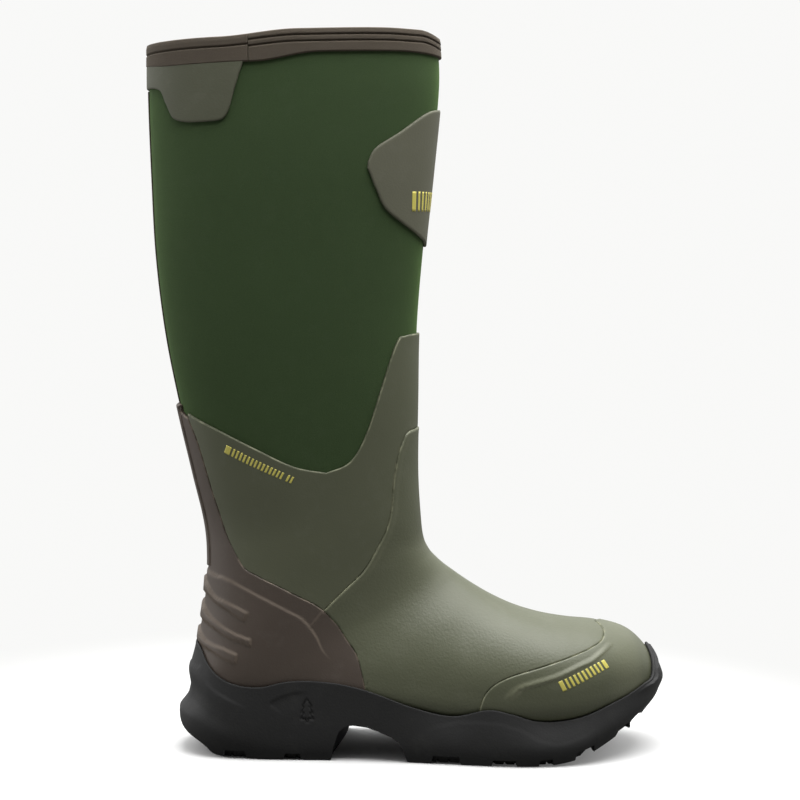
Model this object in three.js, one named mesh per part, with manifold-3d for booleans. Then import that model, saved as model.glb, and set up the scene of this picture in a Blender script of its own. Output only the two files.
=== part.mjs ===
// Right-hand insulated hunting boot: a neoprene bootie in a hand-laid rubber shell on a lugged outsole.
//
// Frame: millimetres, toe towards +X, outer (lateral) side towards -Y, +Z up, standing on z = 0.
// Every layer is worked out from one surface, the outside of the neoprene. A point on it has two
// coordinates: u runs round the leg from the front centre line (0) over the outer side to the back
// centre line (0.5) and on over the inner side to 1, and t runs down from the rim (0), through the
// ankle (7) and the heel (11), to the tip of the toe (22).

import * as THREE from 'three';
import { mergeVertices } from 'three/addons/utils/BufferGeometryUtils.js';
import Module from 'manifold-3d';

const wasm = await Module();
wasm.setup();

// ---- Driving dimensions (mm) -------------------------------------------------------------------

const BOOT_HEIGHT = 446.8;       // ground to the rim at the front
const LAST_LENGTH = 286.2;       // heel to toe along the outside of the neoprene
const SHAFT_WIDTH = 86;          // across the shaft at its widest
const BALL_WIDTH = 97.5;         // across the neoprene at the ball of the foot
const HEEL_SEAT = 32;            // height of the neoprene's heel above the ground
const BALL_SEAT = 19;            // the same at the ball of the foot

const NEOPRENE = 4.5;            // foam thickness
const LINING = 1.2;              // fleece lining thickness
const ANKLE_RUBBER = 1.8;        // thin rubber over the ankle
const VAMP_RUBBER = 2.4;         // rubber over the instep and the sides of the foot
const HEEL_RUBBER = 2.1;         // rubber round the heel
const TOE_RUBBER = 3.1;          // toe cap
const SPINE_RUBBER = 2.9;        // raised strip up the back of the ankle
const STIFFENER = 0.9;           // stiff sheet under the heel rubber
const PATCH = 1.5;               // pull patch at the back of the rim
const BADGE = 1.7;               // shin badge
const SEAM_TAPE = 0.8;           // tape over the back seam
const BINDING = 1.3;             // knitted binding round the rim
const BINDING_INSIDE = 12;       // how far the binding reaches down inside

const BOARD = 2.4;               // insole board
const SHANK_THICKNESS = 1.4;
const SHANK_WIDTH = 16;
const SHANK_LENGTH = 92;
const FOOTBED = 5;               // removable footbed
const MIDSOLE_INSET = 10;        // rubber wall round the midsole
const HEEL_FLOOR = 12;           // rubber under the midsole at the heel
const BALL_FLOOR = 8.5;          // the same at the ball
const ARCH_FLOOR = 8.3;          // from the neoprene down to the roof of the arch
const ARCH_RUBBER = 3.2;         // rubber under the midsole in the arch
const SOLE_EDGE = 2;             // how far the sole's top edge stands proud of the vamp
const GROOVE_DEPTH = 5;          // tread depth

const CLEARANCE = 0.3;           // between any two layers that touch
const SEAM = 0.4;                // between two edges that meet

// ---- Resolution ----------------------------------------------------------------------------------

const AROUND = 26;               // facets round the leg
const TOE_TIP = 22;              // t at the tip of the toe
const LAST_ROW = 21.5;           // last full ring before the tip
const SPLIT = 7;                 // t of the seam between the shaft and the foot of the bootie
const UNDER_HEEL = 12;           // t from which the back centre line runs under the foot
const T_PER_MM = 1 / 30;         // from the rim to the ankle one unit of t is about 30 mm
const GROUND_SLACK = 5;          // how far cutters reach below the ground
const CUTTER_SLACK = 1.5;        // and past the layers that they cut

// ---- The last ------------------------------------------------------------------------------------
// One section for each whole t, drawn at the sample size: front and back are points on the front and
// back centre lines [x, z]; half holds the outer and the inner half width; shift moves the section
// sideways; widest is where it is widest, as a share of the way from front to back; round holds the
// exponents of the superellipses that make its front and back halves (2 is an ellipse, more is squarer).

const SAMPLE = {
  height: 446.8,
  length: 286.2,
  shaft: 86,
  ball: 97.5,
  heelSeat: 32,
  ballSeat: 19,
  ankle: 147.5,
};

const SECTIONS = [
  { front: [10.8, 446.8], back: [-170.5, 443.0], half: [42, 42], shift: 0, widest: 0.5, round: [2.3, 2.3] },
  { front: [11.5, 416.9], back: [-170.5, 410.6], half: [43, 43], shift: 0, widest: 0.5, round: [2.3, 2.3] },
  { front: [6.8, 366.8], back: [-169.0, 363.0], half: [43, 43], shift: 0, widest: 0.5, round: [2.3, 2.3] },
  { front: [1.5, 316.4], back: [-166.6, 312.7], half: [42, 42], shift: 0, widest: 0.5, round: [2.3, 2.3] },
  { front: [-2.3, 269.0], back: [-161.0, 264.5], half: [41, 41], shift: 0, widest: 0.5, round: [2.3, 2.3] },
  { front: [-3.2, 221.2], back: [-152.5, 220.0], half: [39.5, 39.5], shift: 0, widest: 0.5, round: [2.3, 2.3] },
  { front: [-3.8, 177.7], back: [-142.6, 176.4], half: [38, 38], shift: 0, widest: 0.5, round: [2.25, 2.2] },
  { front: [-2.2, 147.5], back: [-135.2, 144.3], half: [37, 37], shift: 0, widest: 0.52, round: [2.2, 2.1] },
  { front: [-0.3, 132.7], back: [-133.4, 121.1], half: [37, 37], shift: 0, widest: 0.55, round: [2.1, 2.1] },
  { front: [3.6, 124.3], back: [-134.9, 95.2], half: [37, 37], shift: 0, widest: 0.6, round: [2.1, 2.1] },
  { front: [8.1, 119.2], back: [-138.9, 68.0], half: [37.5, 37.5], shift: 0, widest: 0.65, round: [2.1, 2.15] },
  { front: [13.2, 114.6], back: [-139.8, 45.0], half: [38, 38], shift: 0, widest: 0.68, round: [2.1, 2.5] },
  { front: [18.4, 110.8], back: [-127.6, 32.5], half: [38.5, 38.5], shift: 0, widest: 0.7, round: [2.1, 3.0] },
  { front: [24.8, 106.2], back: [-93.5, 31.3], half: [39.5, 39], shift: 0, widest: 0.7, round: [2.1, 3.4] },
  { front: [33.8, 100.4], back: [-53.0, 30.0], half: [42, 41], shift: -1, widest: 0.69, round: [2.1, 3.6] },
  { front: [45.3, 93.9], back: [-9.8, 25.0], half: [45.5, 43], shift: -2, widest: 0.67, round: [2.1, 3.6] },
  { front: [59.5, 87.5], back: [30.8, 20.5], half: [49.5, 45], shift: -3, widest: 0.65, round: [2.15, 3.4] },
  { front: [76.2, 82.3], back: [66.8, 19.0], half: [51.5, 46], shift: -3, widest: 0.63, round: [2.2, 3.2] },
  { front: [93.5, 79.0], back: [93.9, 20.5], half: [50, 45], shift: -2, widest: 0.61, round: [2.25, 3.0] },
  { front: [112.8, 76.4], back: [116.4, 24.5], half: [44.5, 41], shift: 1, widest: 0.58, round: [2.3, 2.8] },
  { front: [129.5, 70.6], back: [133.7, 30.9], half: [34, 32], shift: 4, widest: 0.55, round: [2.2, 2.5] },
  { front: [141.2, 60.2], back: [143.6, 37.4], half: [20, 19], shift: 6, widest: 0.52, round: [2.1, 2.2] },
  { front: [146.4, 48.5], back: [146.4, 48.5], half: [0, 0], shift: 7, widest: 0.5, round: [2.0, 2.0] },
];

const LIFT_HEEL_X = -90;         // behind this the foot is lifted by the heel seat
const LIFT_BALL_X = 30;          // in front of this by the ball seat
const lengthGrade = LAST_LENGTH / SAMPLE.length;
const ballGrade = BALL_WIDTH / SAMPLE.ball;
const shaftGrade = SHAFT_WIDTH / SAMPLE.shaft;

/** Smooth step from 0 at a to 1 at b. */
const ease = (a, b, x) => THREE.MathUtils.smoothstep(x, Math.min(a, b), Math.max(a, b));

/** The Catmull-Rom curve between b and c, with a before and d after them. */
function catmullRom(a, b, c, d, f) {
  const square = 2 * a - 5 * b + 4 * c - d;
  const cube = 3 * b - a - 3 * c + d;
  return 0.5 * (2 * b + (c - a) * f + square * f * f + cube * f ** 3);
}

/** Lengths along the foot at the graded size. */
const gradeX = (x) => x * lengthGrade;

/** How much higher the foot stands than on the sample, at sample length x. */
function lift(x) {
  const ball = ease(LIFT_HEEL_X, LIFT_BALL_X, x);
  const heel = HEEL_SEAT - SAMPLE.heelSeat;
  return heel + (BALL_SEAT - SAMPLE.ballSeat - heel) * ball;
}

/** Heights: the foot grows with its length, and the shaft stretches from the ankle to the rim. */
function gradeZ(x, z) {
  const foot = z * lengthGrade + lift(x);
  const ankle = SAMPLE.ankle * lengthGrade + lift(LIFT_HEEL_X);
  if (z <= SAMPLE.ankle) return foot;
  const share = (z - SAMPLE.ankle) / (SAMPLE.height - SAMPLE.ankle);
  return ankle + share * (BOOT_HEIGHT - ankle);
}

/** Width grade at t: the shaft's down to the ankle, the ball's from the heel on. */
const widthGrade = (t) => shaftGrade + (ballGrade - shaftGrade) * ease(SPLIT, UNDER_HEEL, t);

const rows = SECTIONS.map((s, t) => [
  gradeX(s.front[0]), gradeZ(s.front[0], s.front[1]),
  gradeX(s.back[0]), gradeZ(s.back[0], s.back[1]),
  s.half[0] * widthGrade(t), s.half[1] * widthGrade(t), s.shift * ballGrade,
  s.widest, s.round[0], s.round[1],
]);
rows.unshift(rows[0].map((v, k) => 2 * v - rows[1][k]));
const nearTip = rows[rows.length - 2];
rows.push([nearTip[2], nearTip[3], nearTip[0], nearTip[1], -nearTip[4], -nearTip[5], ...nearTip.slice(6)]);

/** The section at t, by Catmull-Rom between the whole ones. Past the tip it mirrors, so the toe closes. */
function sectionAt(t) {
  const i = Math.min(Math.max(Math.floor(t), 0), SECTIONS.length - 2);
  const f = t - i;
  return rows[i].map((a, k) => catmullRom(a, rows[i + 1][k], rows[i + 2][k], rows[i + 3][k], f));
}

const HALF_SAMPLES = 160;
const halfCache = new Map();

/** One half of the section at t as points with their distance from the front: side -1 outer, 1 inner. */
function halfSection(t, side) {
  const key = `${side} ${t.toFixed(5)}`;
  if (halfCache.has(key)) return halfCache.get(key);
  const [fx, fz, bx, bz, outer, inner, shift, widest, roundFront, roundBack] = sectionAt(t);
  const points = [];
  let run = 0;
  for (let k = 0; k <= HALF_SAMPLES; k += 1) {
    const angle = (Math.PI * k) / HALF_SAMPLES;
    const power = 2 / (Math.cos(angle) >= 0 ? roundFront : roundBack);
    const along = Math.abs(Math.cos(angle)) ** power;
    const share = Math.cos(angle) >= 0 ? widest * (1 - along) : widest + (1 - widest) * along;
    const out = (side < 0 ? outer : inner) * Math.abs(Math.sin(angle)) ** power;
    const point = new THREE.Vector3(fx + (bx - fx) * share, shift + side * out, fz + (bz - fz) * share);
    if (k) run += point.distanceTo(points[k - 1].point);
    points.push({ point, run });
  }
  halfCache.set(key, points);
  return points;
}

/** The point of the neoprene's outside at u, t. */
function skinPoint(u, t) {
  const turn = u - Math.floor(u);
  const side = turn <= 0.5 ? -1 : 1;
  const points = halfSection(t, side);
  const target = points[HALF_SAMPLES].run * 2 * (side < 0 ? turn : 1 - turn);
  let low = 0;
  let high = HALF_SAMPLES;
  while (high - low > 1) {
    const middle = (low + high) >> 1;
    if (points[middle].run <= target) low = middle;
    else high = middle;
  }
  const gap = points[high].run - points[low].run;
  const f = gap > 0 ? (target - points[low].run) / gap : 0;
  return points[low].point.clone().lerp(points[high].point, f);
}

const U_STEP = 0.006;
const T_STEP = 0.03;

/** The outward normal of the neoprene at u, t. */
function skinNormal(u, t) {
  if (t >= TOE_TIP) return new THREE.Vector3(1, 0, 0);
  const round = skinPoint(u + U_STEP, t).sub(skinPoint(u - U_STEP, t));
  const down = skinPoint(u, t + T_STEP).sub(skinPoint(u, t - T_STEP));
  return down.cross(round).normalize().negate();
}

/** A point at distance off outside the neoprene (negative is inside). */
const layerPoint = (u, t, off) => skinPoint(u, t).addScaledVector(skinNormal(u, t), off);

// ---- Solids ----------------------------------------------------------------------------------------

/** A solid from triangles [a, b, c] of Vector3: doubles are merged, slivers dropped, faces turned out. */
function solidFromTriangles(triangles) {
  const geometry = new THREE.BufferGeometry();
  const flat = triangles.flatMap((t) => t.flatMap((p) => [p.x, p.y, p.z]));
  geometry.setAttribute('position', new THREE.Float32BufferAttribute(flat, 3));
  const merged = mergeVertices(geometry, 1e-4);
  const index = [...merged.index.array];
  const position = merged.attributes.position.array;
  const kept = [];
  let volume = 0;
  for (let k = 0; k < index.length; k += 3) {
    const [a, b, c] = index.slice(k, k + 3);
    if (a === b || b === c || c === a) continue;
    const [p, q, r] = [a, b, c].map((v) => new THREE.Vector3().fromArray(position, v * 3));
    volume += p.dot(q.cross(r));
    kept.push([a, b, c]);
  }
  const turned = volume < 0 ? kept.map(([a, b, c]) => [a, c, b]) : kept;
  const mesh = new wasm.Mesh({
    numProp: 3,
    vertProperties: new Float32Array(position),
    triVerts: new Uint32Array(turned.flat()),
  });
  return new wasm.Manifold(mesh);
}

/** Two triangles over a quad. */
const quad = (a, b, c, d) => [[a, b, c], [a, c, d]];

/** A solid swept through closed loops of equal length. Each end is closed by a strip across its loop. */
function sweptSolid(loops) {
  const size = loops[0].length;
  const triangles = [];
  for (let i = 0; i + 1 < loops.length; i += 1) {
    for (let j = 0; j < size; j += 1) {
      const k = (j + 1) % size;
      triangles.push(...quad(loops[i][j], loops[i + 1][j], loops[i + 1][k], loops[i][k]));
    }
  }
  const cap = (loop, flip) => {
    for (let j = 0; j + 1 < size / 2; j += 1) {
      const strip = quad(loop[j], loop[j + 1], loop[size - 2 - j], loop[size - 1 - j]);
      triangles.push(...strip.map(([a, b, c]) => (flip ? [a, c, b] : [a, b, c])));
    }
  };
  cap(loops[0], false);
  cap(loops[loops.length - 1], true);
  return solidFromTriangles(triangles);
}

/** A solid between two grids of points, closed round its border. round: the last column meets the first. */
function shellSolid(outside, inside, round = false) {
  const columns = outside.length;
  const last = outside[0].length - 1;
  const triangles = [];
  const wall = ([i, j], [m, n]) => {
    triangles.push(...quad(outside[i][j], outside[m][n], inside[m][n], inside[i][j]));
  };
  for (let i = 0; i < (round ? columns : columns - 1); i += 1) {
    const n = (i + 1) % columns;
    for (let j = 0; j < last; j += 1) {
      triangles.push(...quad(outside[i][j], outside[n][j], outside[n][j + 1], outside[i][j + 1]));
      const inner = quad(inside[i][j], inside[n][j], inside[n][j + 1], inside[i][j + 1]);
      triangles.push(...inner.map(([a, b, c]) => [a, c, b]));
    }
    wall([n, 0], [i, 0]);
    wall([i, last], [n, last]);
  }
  for (let j = 0; j < last && !round; j += 1) {
    wall([0, j], [0, j + 1]);
    wall([columns - 1, j + 1], [columns - 1, j]);
  }
  return solidFromTriangles(triangles);
}

/** The biggest body of a solid, without the slivers that cuts leave behind. */
function mainBody(solid) {
  const bodies = solid.decompose();
  return bodies.reduce((biggest, body) => (body.volume() > biggest.volume() ? body : biggest));
}

/** A solid from a closed three.js geometry. */
function solidFromGeometry(geometry) {
  const loose = geometry.index ? geometry.toNonIndexed() : geometry;
  const position = loose.attributes.position;
  const triangles = [];
  for (let k = 0; k < position.count; k += 3) {
    triangles.push([0, 1, 2].map((n) => new THREE.Vector3().fromBufferAttribute(position, k + n)));
  }
  return solidFromTriangles(triangles);
}

/** A prism across the whole boot whose side view is the outline [[x, z], ...]. */
function sidePrism(outline) {
  const shape = new THREE.Shape(outline.map(([x, z]) => new THREE.Vector2(x, z)));
  const depth = 2 * BALL_WIDTH;
  const geometry = new THREE.ExtrudeGeometry(shape, { depth, bevelEnabled: false });
  geometry.rotateX(Math.PI / 2);
  geometry.translate(0, depth / 2, 0);
  return solidFromGeometry(geometry);
}

/** A prism of the plan outline [[x, y], ...] between two heights. */
function planPrism(outline, low, high) {
  const shape = new THREE.Shape(outline.map(([x, y]) => new THREE.Vector2(x, y)));
  const geometry = new THREE.ExtrudeGeometry(shape, { depth: high - low, bevelEnabled: false });
  geometry.translate(0, 0, low);
  return solidFromGeometry(geometry);
}

// ---- The rim ---------------------------------------------------------------------------------------

/** A smooth value round the rim from [u, value] pairs on the outer side; the inner side mirrors it. */
function roundTheRim(pairs) {
  return (u) => {
    const turn = u - Math.floor(u);
    const x = Math.min(turn, 1 - turn);
    const k = Math.max(pairs.findIndex(([at]) => at >= x), 1);
    const [[x0, v0], [x1, v1]] = [pairs[k - 1], pairs[k]];
    return v0 + (v1 - v0) * ease(x0, x1, x);
  };
}

// The rim stands a little higher at the sides of the calf than in front and behind.
const rimTop = roundTheRim([[0, 0], [0.03, -0.02], [0.12, -0.14], [0.24, -0.14], [0.35, -0.03], [0.5, 0]]);
// The binding is deeper at the back than in front.
const bindingFoot = roundTheRim([[0, 0.4], [0.1, 0.32], [0.21, 0.32], [0.3, 0.49], [0.42, 0.5], [0.5, 0.42]]);

const rimUnderBinding = (u) => rimTop(u) + (BINDING + CLEARANCE) * T_PER_MM;

// ---- Bootie and lining ------------------------------------------------------------------------------

const roundU = Array.from({ length: AROUND }, (_, k) => k / AROUND);
const SEAM_T = (SEAM / 2) * T_PER_MM;

/** The rows of a layer's upper part at u. */
const shaftRows = (u) => [rimUnderBinding(u), 1, 3, 4, 5, 6, SPLIT - SEAM_T];

/** The rows of a layer's foot part. */
const footRows = () => [
  SPLIT + SEAM_T, 8, 9.5, 10.7, 11.5, 12.3, 13.7, 15, 16, 17, 18, 19, 20, 21, LAST_ROW, TOE_TIP,
];

/** A layer between two offsets from the neoprene's outside, over the rows that rowsAt gives at each u. */
function layerSolid(rowsAt, outside, inside) {
  const face = (off) => roundU.map((u) => rowsAt(u).map((t) => layerPoint(u, t, off)));
  return shellSolid(face(outside), face(inside), true);
}

/** Everything inside the surface at offset off, from just under the rim to the toe: used to cut. */
function filledBoot(off) {
  const cutRows = [...shaftRows(0).slice(0, -1), SPLIT, ...footRows().slice(1)];
  return sweptSolid(cutRows.map((t) => roundU.map((u) => layerPoint(u, t, off))));
}

const LINING_OUT = -(NEOPRENE + CLEARANCE);
const LINING_IN = LINING_OUT - LINING;

// ---- Rubber overlays --------------------------------------------------------------------------------
// An overlay lies between an upper and a lower edge, each a run of points on the neoprene's surface
// from the centre line outwards. Corners are where one smooth run ends and the next begins.

const U_MM = 420;                // one turn of u, about, for even spacing
const T_MM = 28;                 // one unit of t, about

/** Points along an edge: runs are [number of steps, [u, t], [u, t], ...]. */
function edgePoints(runs) {
  const points = [];
  runs.forEach(([steps, ...marks], r) => {
    const curve = new THREE.SplineCurve(marks.map(([u, t]) => new THREE.Vector2(u * U_MM, t * T_MM)));
    const spaced = curve.getSpacedPoints(steps).map((p) => [p.x / U_MM, p.y / T_MM]);
    points.push(...(r ? spaced.slice(1) : spaced));
  });
  return points;
}

/** Both sides of an edge: centre is 0 for one that crosses the front and 0.5 for the back. */
function bothSides(points, centre) {
  const other = points.slice(1).reverse().map(([u, t]) => [2 * centre - u, t]);
  return [...other, ...points];
}

/** Draws the border of a grid of points in by amount, square to the border. */
function drawIn(grid, amount) {
  const lastI = grid.length - 1;
  const lastJ = grid[0].length - 1;
  const copy = grid.map((row) => row.map((p) => p.clone()));
  const pull = ([i, j], inner, before, after) => {
    const [p, q, a, b] = [[i, j], inner, before, after].map(([m, n]) => copy[m][n]);
    const along = b.clone().sub(a).normalize();
    const inward = q.clone().sub(p);
    inward.addScaledVector(along, -inward.dot(along)).normalize();
    grid[i][j].addScaledVector(inward, amount);
  };
  for (let i = 0; i <= lastI; i += 1) {
    const [before, after] = [Math.max(i - 1, 0), Math.min(i + 1, lastI)];
    pull([i, 0], [i, 1], [before, 0], [after, 0]);
    pull([i, lastJ], [i, lastJ - 1], [before, lastJ], [after, lastJ]);
  }
  for (let j = 0; j <= lastJ; j += 1) {
    const [before, after] = [Math.max(j - 1, 0), Math.min(j + 1, lastJ)];
    pull([0, j], [1, j], [0, before], [0, after]);
    pull([lastI, j], [lastI - 1, j], [lastI, before], [lastI, after]);
  }
}

/** The part of the layer between offsets low and high that lies inside the edges, widened by grow. */
function layerInside({ centre, upper, lower, bands }, low, high, grow) {
  const top = bothSides(edgePoints(upper), centre);
  const bottom = bothSides(edgePoints(lower), centre);
  const face = (off) => {
    const grid = top.map(([u0, t0], i) => Array.from({ length: bands + 1 }, (_, j) => {
      const [u1, t1] = bottom[i];
      return layerPoint(u0 + ((u1 - u0) * j) / bands, t0 + ((t1 - t0) * j) / bands, off);
    }));
    drawIn(grid, -grow);
    return grid;
  };
  const cutter = shellSolid(face(high + CUTTER_SLACK), face(low - CUTTER_SLACK));
  return cutter.intersect(filledBoot(high)).subtract(filledBoot(low));
}

/** An overlay on the neoprene. Its edges draw back by half a seam from the lines where pieces meet. */
const overlay = (edges, thickness) => layerInside(edges, CLEARANCE, CLEARANCE + thickness, -SEAM / 2);

/** The space that an overlay needs with a clearance all round, for cutting out of its neighbours. */
const overlayRoom = (edges, thickness) => layerInside(edges, 0, 2 * CLEARANCE + thickness, CLEARANCE / 2);

// The lines where the rubber pieces meet, each a run that both neighbours share.
const YOKE_FRONT = [
  11, [0, 4.1], [0.056, 4.12], [0.075, 4.2], [0.1, 4.68], [0.134, 5.4], [0.166, 5.8], [0.209, 5.96],
];
const YOKE_BACK = [9, [0.209, 5.96], [0.263, 5.86], [0.325, 5.6], [0.388, 5.34], [0.446, 5.13]];
const VAMP_LINE = [
  11, [0, 5.36], [0.05, 5.4], [0.066, 5.54], [0.078, 5.78], [0.09, 6.3], [0.095, 6.66],
  [0.116, 7.52], [0.153, 8.8], [0.181, 9.38], [0.23, 10.18],
];
const HEEL_LINE = [
  9, [0.23, 10.18], [0.25, 9.72], [0.281, 9.26], [0.316, 8.82], [0.353, 8.46], [0.381, 8.16],
  [0.412, 7.34], [0.425, 6.56], [0.434, 5.6], [0.446, 5.2],
];
const COUNTER_FRONT = [
  7, [0.23, 10.18], [0.212, 10.68], [0.206, 11.54], [0.228, 12.56], [0.263, 13.24],
  [0.325, 13.98], [0.362, 14.2],
];
const TOE_LINE = [
  18, [0, 18.94], [0.066, 19.12], [0.125, 19], [0.156, 18.6], [0.178, 17.94], [0.203, 17.04],
  [0.228, 16.36], [0.259, 16.02], [0.303, 15.98], [0.36, 16.15],
];
// The rubber's lower edge, hidden in the sole.
const HEEL_FEATHER = [
  17, [0.5, 11], [0.475, 11.2], [0.45, 11.6], [0.43, 12.1], [0.42, 12.7], [0.4, 13.3], [0.37, 14.25],
];
const TOE_FEATHER = [18, [0, 21.6], [0.18, 21.6], [0.36, 21.6]];

/** A run the other way round. */
const reversed = ([steps, ...marks]) => [steps, ...marks.reverse()];

const ANKLE_EDGES = { centre: 0, upper: [YOKE_FRONT, YOKE_BACK], lower: [VAMP_LINE, HEEL_LINE], bands: 5 };
const VAMP_EDGES = { centre: 0, upper: [VAMP_LINE, COUNTER_FRONT], lower: [TOE_LINE], bands: 7 };
const TOE_EDGES = { centre: 0, upper: [TOE_LINE], lower: [TOE_FEATHER], bands: 6 };
const HEEL_EDGES = {
  centre: 0.5,
  upper: [[1, [0.5, 5], [0.446, 5.2]], reversed(HEEL_LINE), COUNTER_FRONT],
  lower: [HEEL_FEATHER],
  bands: 6,
};
const SPINE_EDGES = {
  centre: 0.5,
  upper: [[2, [0.5, 5], [0.468, 5.02]]],
  lower: [[2, [0.5, 8.25], [0.466, 8.2]]],
  bands: 7,
};
const STIFFENER_EDGES = {
  centre: 0.5,
  upper: [[
    10, [0.5, 8.5], [0.425, 8.5], [0.369, 8.9], [0.303, 9.66], [0.25, 10.64], [0.25, 12.06], [0.3, 13.2],
  ]],
  lower: [[10, [0.5, 10.9], [0.455, 11.3], [0.42, 12.1], [0.39, 13.2]]],
  bands: 3,
};
const PATCH_EDGES = {
  centre: 0.5,
  upper: [[8, [0.5, 0.47], [0.42, 0.55], [0.314, 0.56]]],
  lower: [
    [3, [0.5, 0.84], [0.447, 0.9], [0.431, 1.16]],
    [5, [0.431, 1.16], [0.405, 1.41], [0.353, 1.42], [0.331, 1.18]],
  ],
  bands: 2,
};
const BADGE_EDGES = {
  centre: 0,
  upper: [[5, [0, 1.28], [0.047, 1.34], [0.094, 1.58], [0.128, 1.76], [0.138, 1.92]]],
  lower: [[5, [0, 2.96], [0.053, 2.78], [0.103, 2.52], [0.122, 2.28], [0.138, 2]]],
  bands: 3,
};
const TAPE_EDGES = {
  centre: 0.5,
  upper: [[1, [0.5, 0.88], [0.488, 0.88]]],
  lower: [[1, [0.5, 4.96], [0.488, 4.96]]],
  bands: 5,
};

// ---- Binding ----------------------------------------------------------------------------------------

const BINDING_JOINT = 8 / AROUND; // u where the two lengths of binding meet, on a facet's edge

/** The two faces of the binding at u: it folds over the rim with one leg outside and one inside. */
function bindingSection(u) {
  const top = rimTop(u);
  const under = top + BINDING * T_PER_MM;
  const foot = bindingFoot(u);
  const insideFoot = top + BINDING_INSIDE * T_PER_MM;
  const outer = CLEARANCE + BINDING;
  const inner = LINING_IN - 2 * CLEARANCE; // its flat facets need more room on the bowed lining
  const legInside = inner - BINDING;
  const face = (marks) => marks.map(([t, off]) => layerPoint(u, t, off));
  return {
    out: face([
      [foot, outer], [under, outer], [top, 0],
      [top, LINING_IN], [under, legInside], [insideFoot, legInside],
    ]),
    in: face([
      [foot, CLEARANCE], [under, CLEARANCE], [under, CLEARANCE],
      [under, inner], [under, inner], [insideFoot, inner],
    ]),
  };
}

/** A length of binding from u0 to u1. Its ends draw back from the joint by half a seam. */
function bindingPiece(u0, u1) {
  const steps = Math.round((u1 - u0) * AROUND);
  const back = SEAM / 2 / U_MM;
  const at = (k) => u0 + ((u1 - u0) * k) / steps + (k === 0 ? back : 0) - (k === steps ? back : 0);
  const sections = Array.from({ length: steps + 1 }, (_, k) => bindingSection(at(k)));
  return shellSolid(sections.map((section) => section.out), sections.map((section) => section.in));
}

// ---- Sole unit ----------------------------------------------------------------------------------------
// The outsole's stations from the heel to the toe, at the sample size: edge is where its top edge lies on
// the boot [u, t]; outline is the widest plan outline [x, outer y, inner y]; wide is the height where it
// is widest; under is how far the tread's edge is drawn in from there, and floor is the tread's height.

const OUTSOLE = [
  { edge: [0.5, 10.02], outline: [-154, 0, 0], wide: 19, under: 24, floor: 0 },
  { edge: [0.459, 10.16], outline: [-151.5, -17, 17], wide: 18.5, under: 19, floor: 0 },
  { edge: [0.422, 10.76], outline: [-143, -31, 30], wide: 18, under: 9, floor: 0 },
  { edge: [0.391, 11.5], outline: [-126, -40.5, 40], wide: 16, under: 4, floor: 0 },
  { edge: [0.366, 12.1], outline: [-103, -43.5, 43], wide: 14, under: 2, floor: 0 },
  { edge: [0.341, 12.48], outline: [-80, -44.5, 43], wide: 13, under: 2, floor: 0 },
  { edge: [0.331, 13.28], outline: [-57, -45.5, 42.5], wide: 13, under: 2, floor: 0 },
  { edge: [0.331, 14], outline: [-34, -47.5, 42.5], wide: 13, under: 2, floor: 0 },
  { edge: [0.336, 14.9], outline: [-5, -51.5, 44.5], wide: 12, under: 2, floor: 0 },
  { edge: [0.331, 15.56], outline: [19, -56, 47], wide: 12, under: 2, floor: 0 },
  { edge: [0.303, 16.1], outline: [41, -60, 50], wide: 12, under: 2, floor: 0 },
  { edge: [0.303, 16.58], outline: [57, -62, 51.5], wide: 12, under: 2, floor: 0 },
  { edge: [0.314, 17.2], outline: [76, -61.5, 52.5], wide: 12, under: 2, floor: 0 },
  { edge: [0.312, 18.1], outline: [98, -57.5, 51], wide: 14, under: 2.5, floor: 3.5 },
  { edge: [0.3, 18.94], outline: [117, -49, 47], wide: 21, under: 4, floor: 10.5 },
  { edge: [0.291, 19.64], outline: [131, -38.5, 41], wide: 27, under: 6, floor: 16 },
  { edge: [0.278, 20.24], outline: [141.5, -27, 34], wide: 31, under: 8, floor: 19 },
  { edge: [0.256, 20.84], outline: [149, -15, 26.5], wide: 35, under: 10, floor: 19.5 },
  { edge: [0.16, 21.1], outline: [153, -4, 17], wide: 38, under: 11, floor: 19.5 },
  { edge: [0, 20.95], outline: [154.5, 7, 7], wide: 39, under: 12, floor: 19.5 },
];
const HALF = OUTSOLE.length - 1;

// The sole's cup clears the thickest of what lies between it and the neoprene.
const SOLE_CUP = CLEARANCE + Math.max(VAMP_RUBBER, HEEL_RUBBER, BOARD) + CLEARANCE;

/** One number of the outsole's stations at s, by Catmull-Rom; s counts stations from the heel. */
function alongSole(read, s) {
  const at = (k) => read(OUTSOLE[Math.min(Math.max(k, 0), HALF)]);
  const i = Math.min(Math.floor(s), HALF - 1);
  const f = s - i;
  return catmullRom(at(i - 1), at(i), at(i + 1), at(i + 2), f);
}

/** The plan outline at s on a side (1 outer, 2 inner), drawn in by inset. */
function solePlan(s, side, inset) {
  const point = (q) => new THREE.Vector2(
    gradeX(alongSole((o) => o.outline[0], q)),
    ballGrade * alongSole((o) => o.outline[side], q),
  );
  const along = point(Math.min(s + 0.1, HALF)).sub(point(Math.max(s - 0.1, 0)));
  if (s === 0) along.set(0, side === 1 ? -1 : 1);
  if (s === HALF) along.set(0, side === 1 ? 1 : -1);
  const outward = new THREE.Vector2(along.y, -along.x).normalize().multiplyScalar(side === 1 ? 1 : -1);
  return point(s).addScaledVector(outward, -inset);
}

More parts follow.
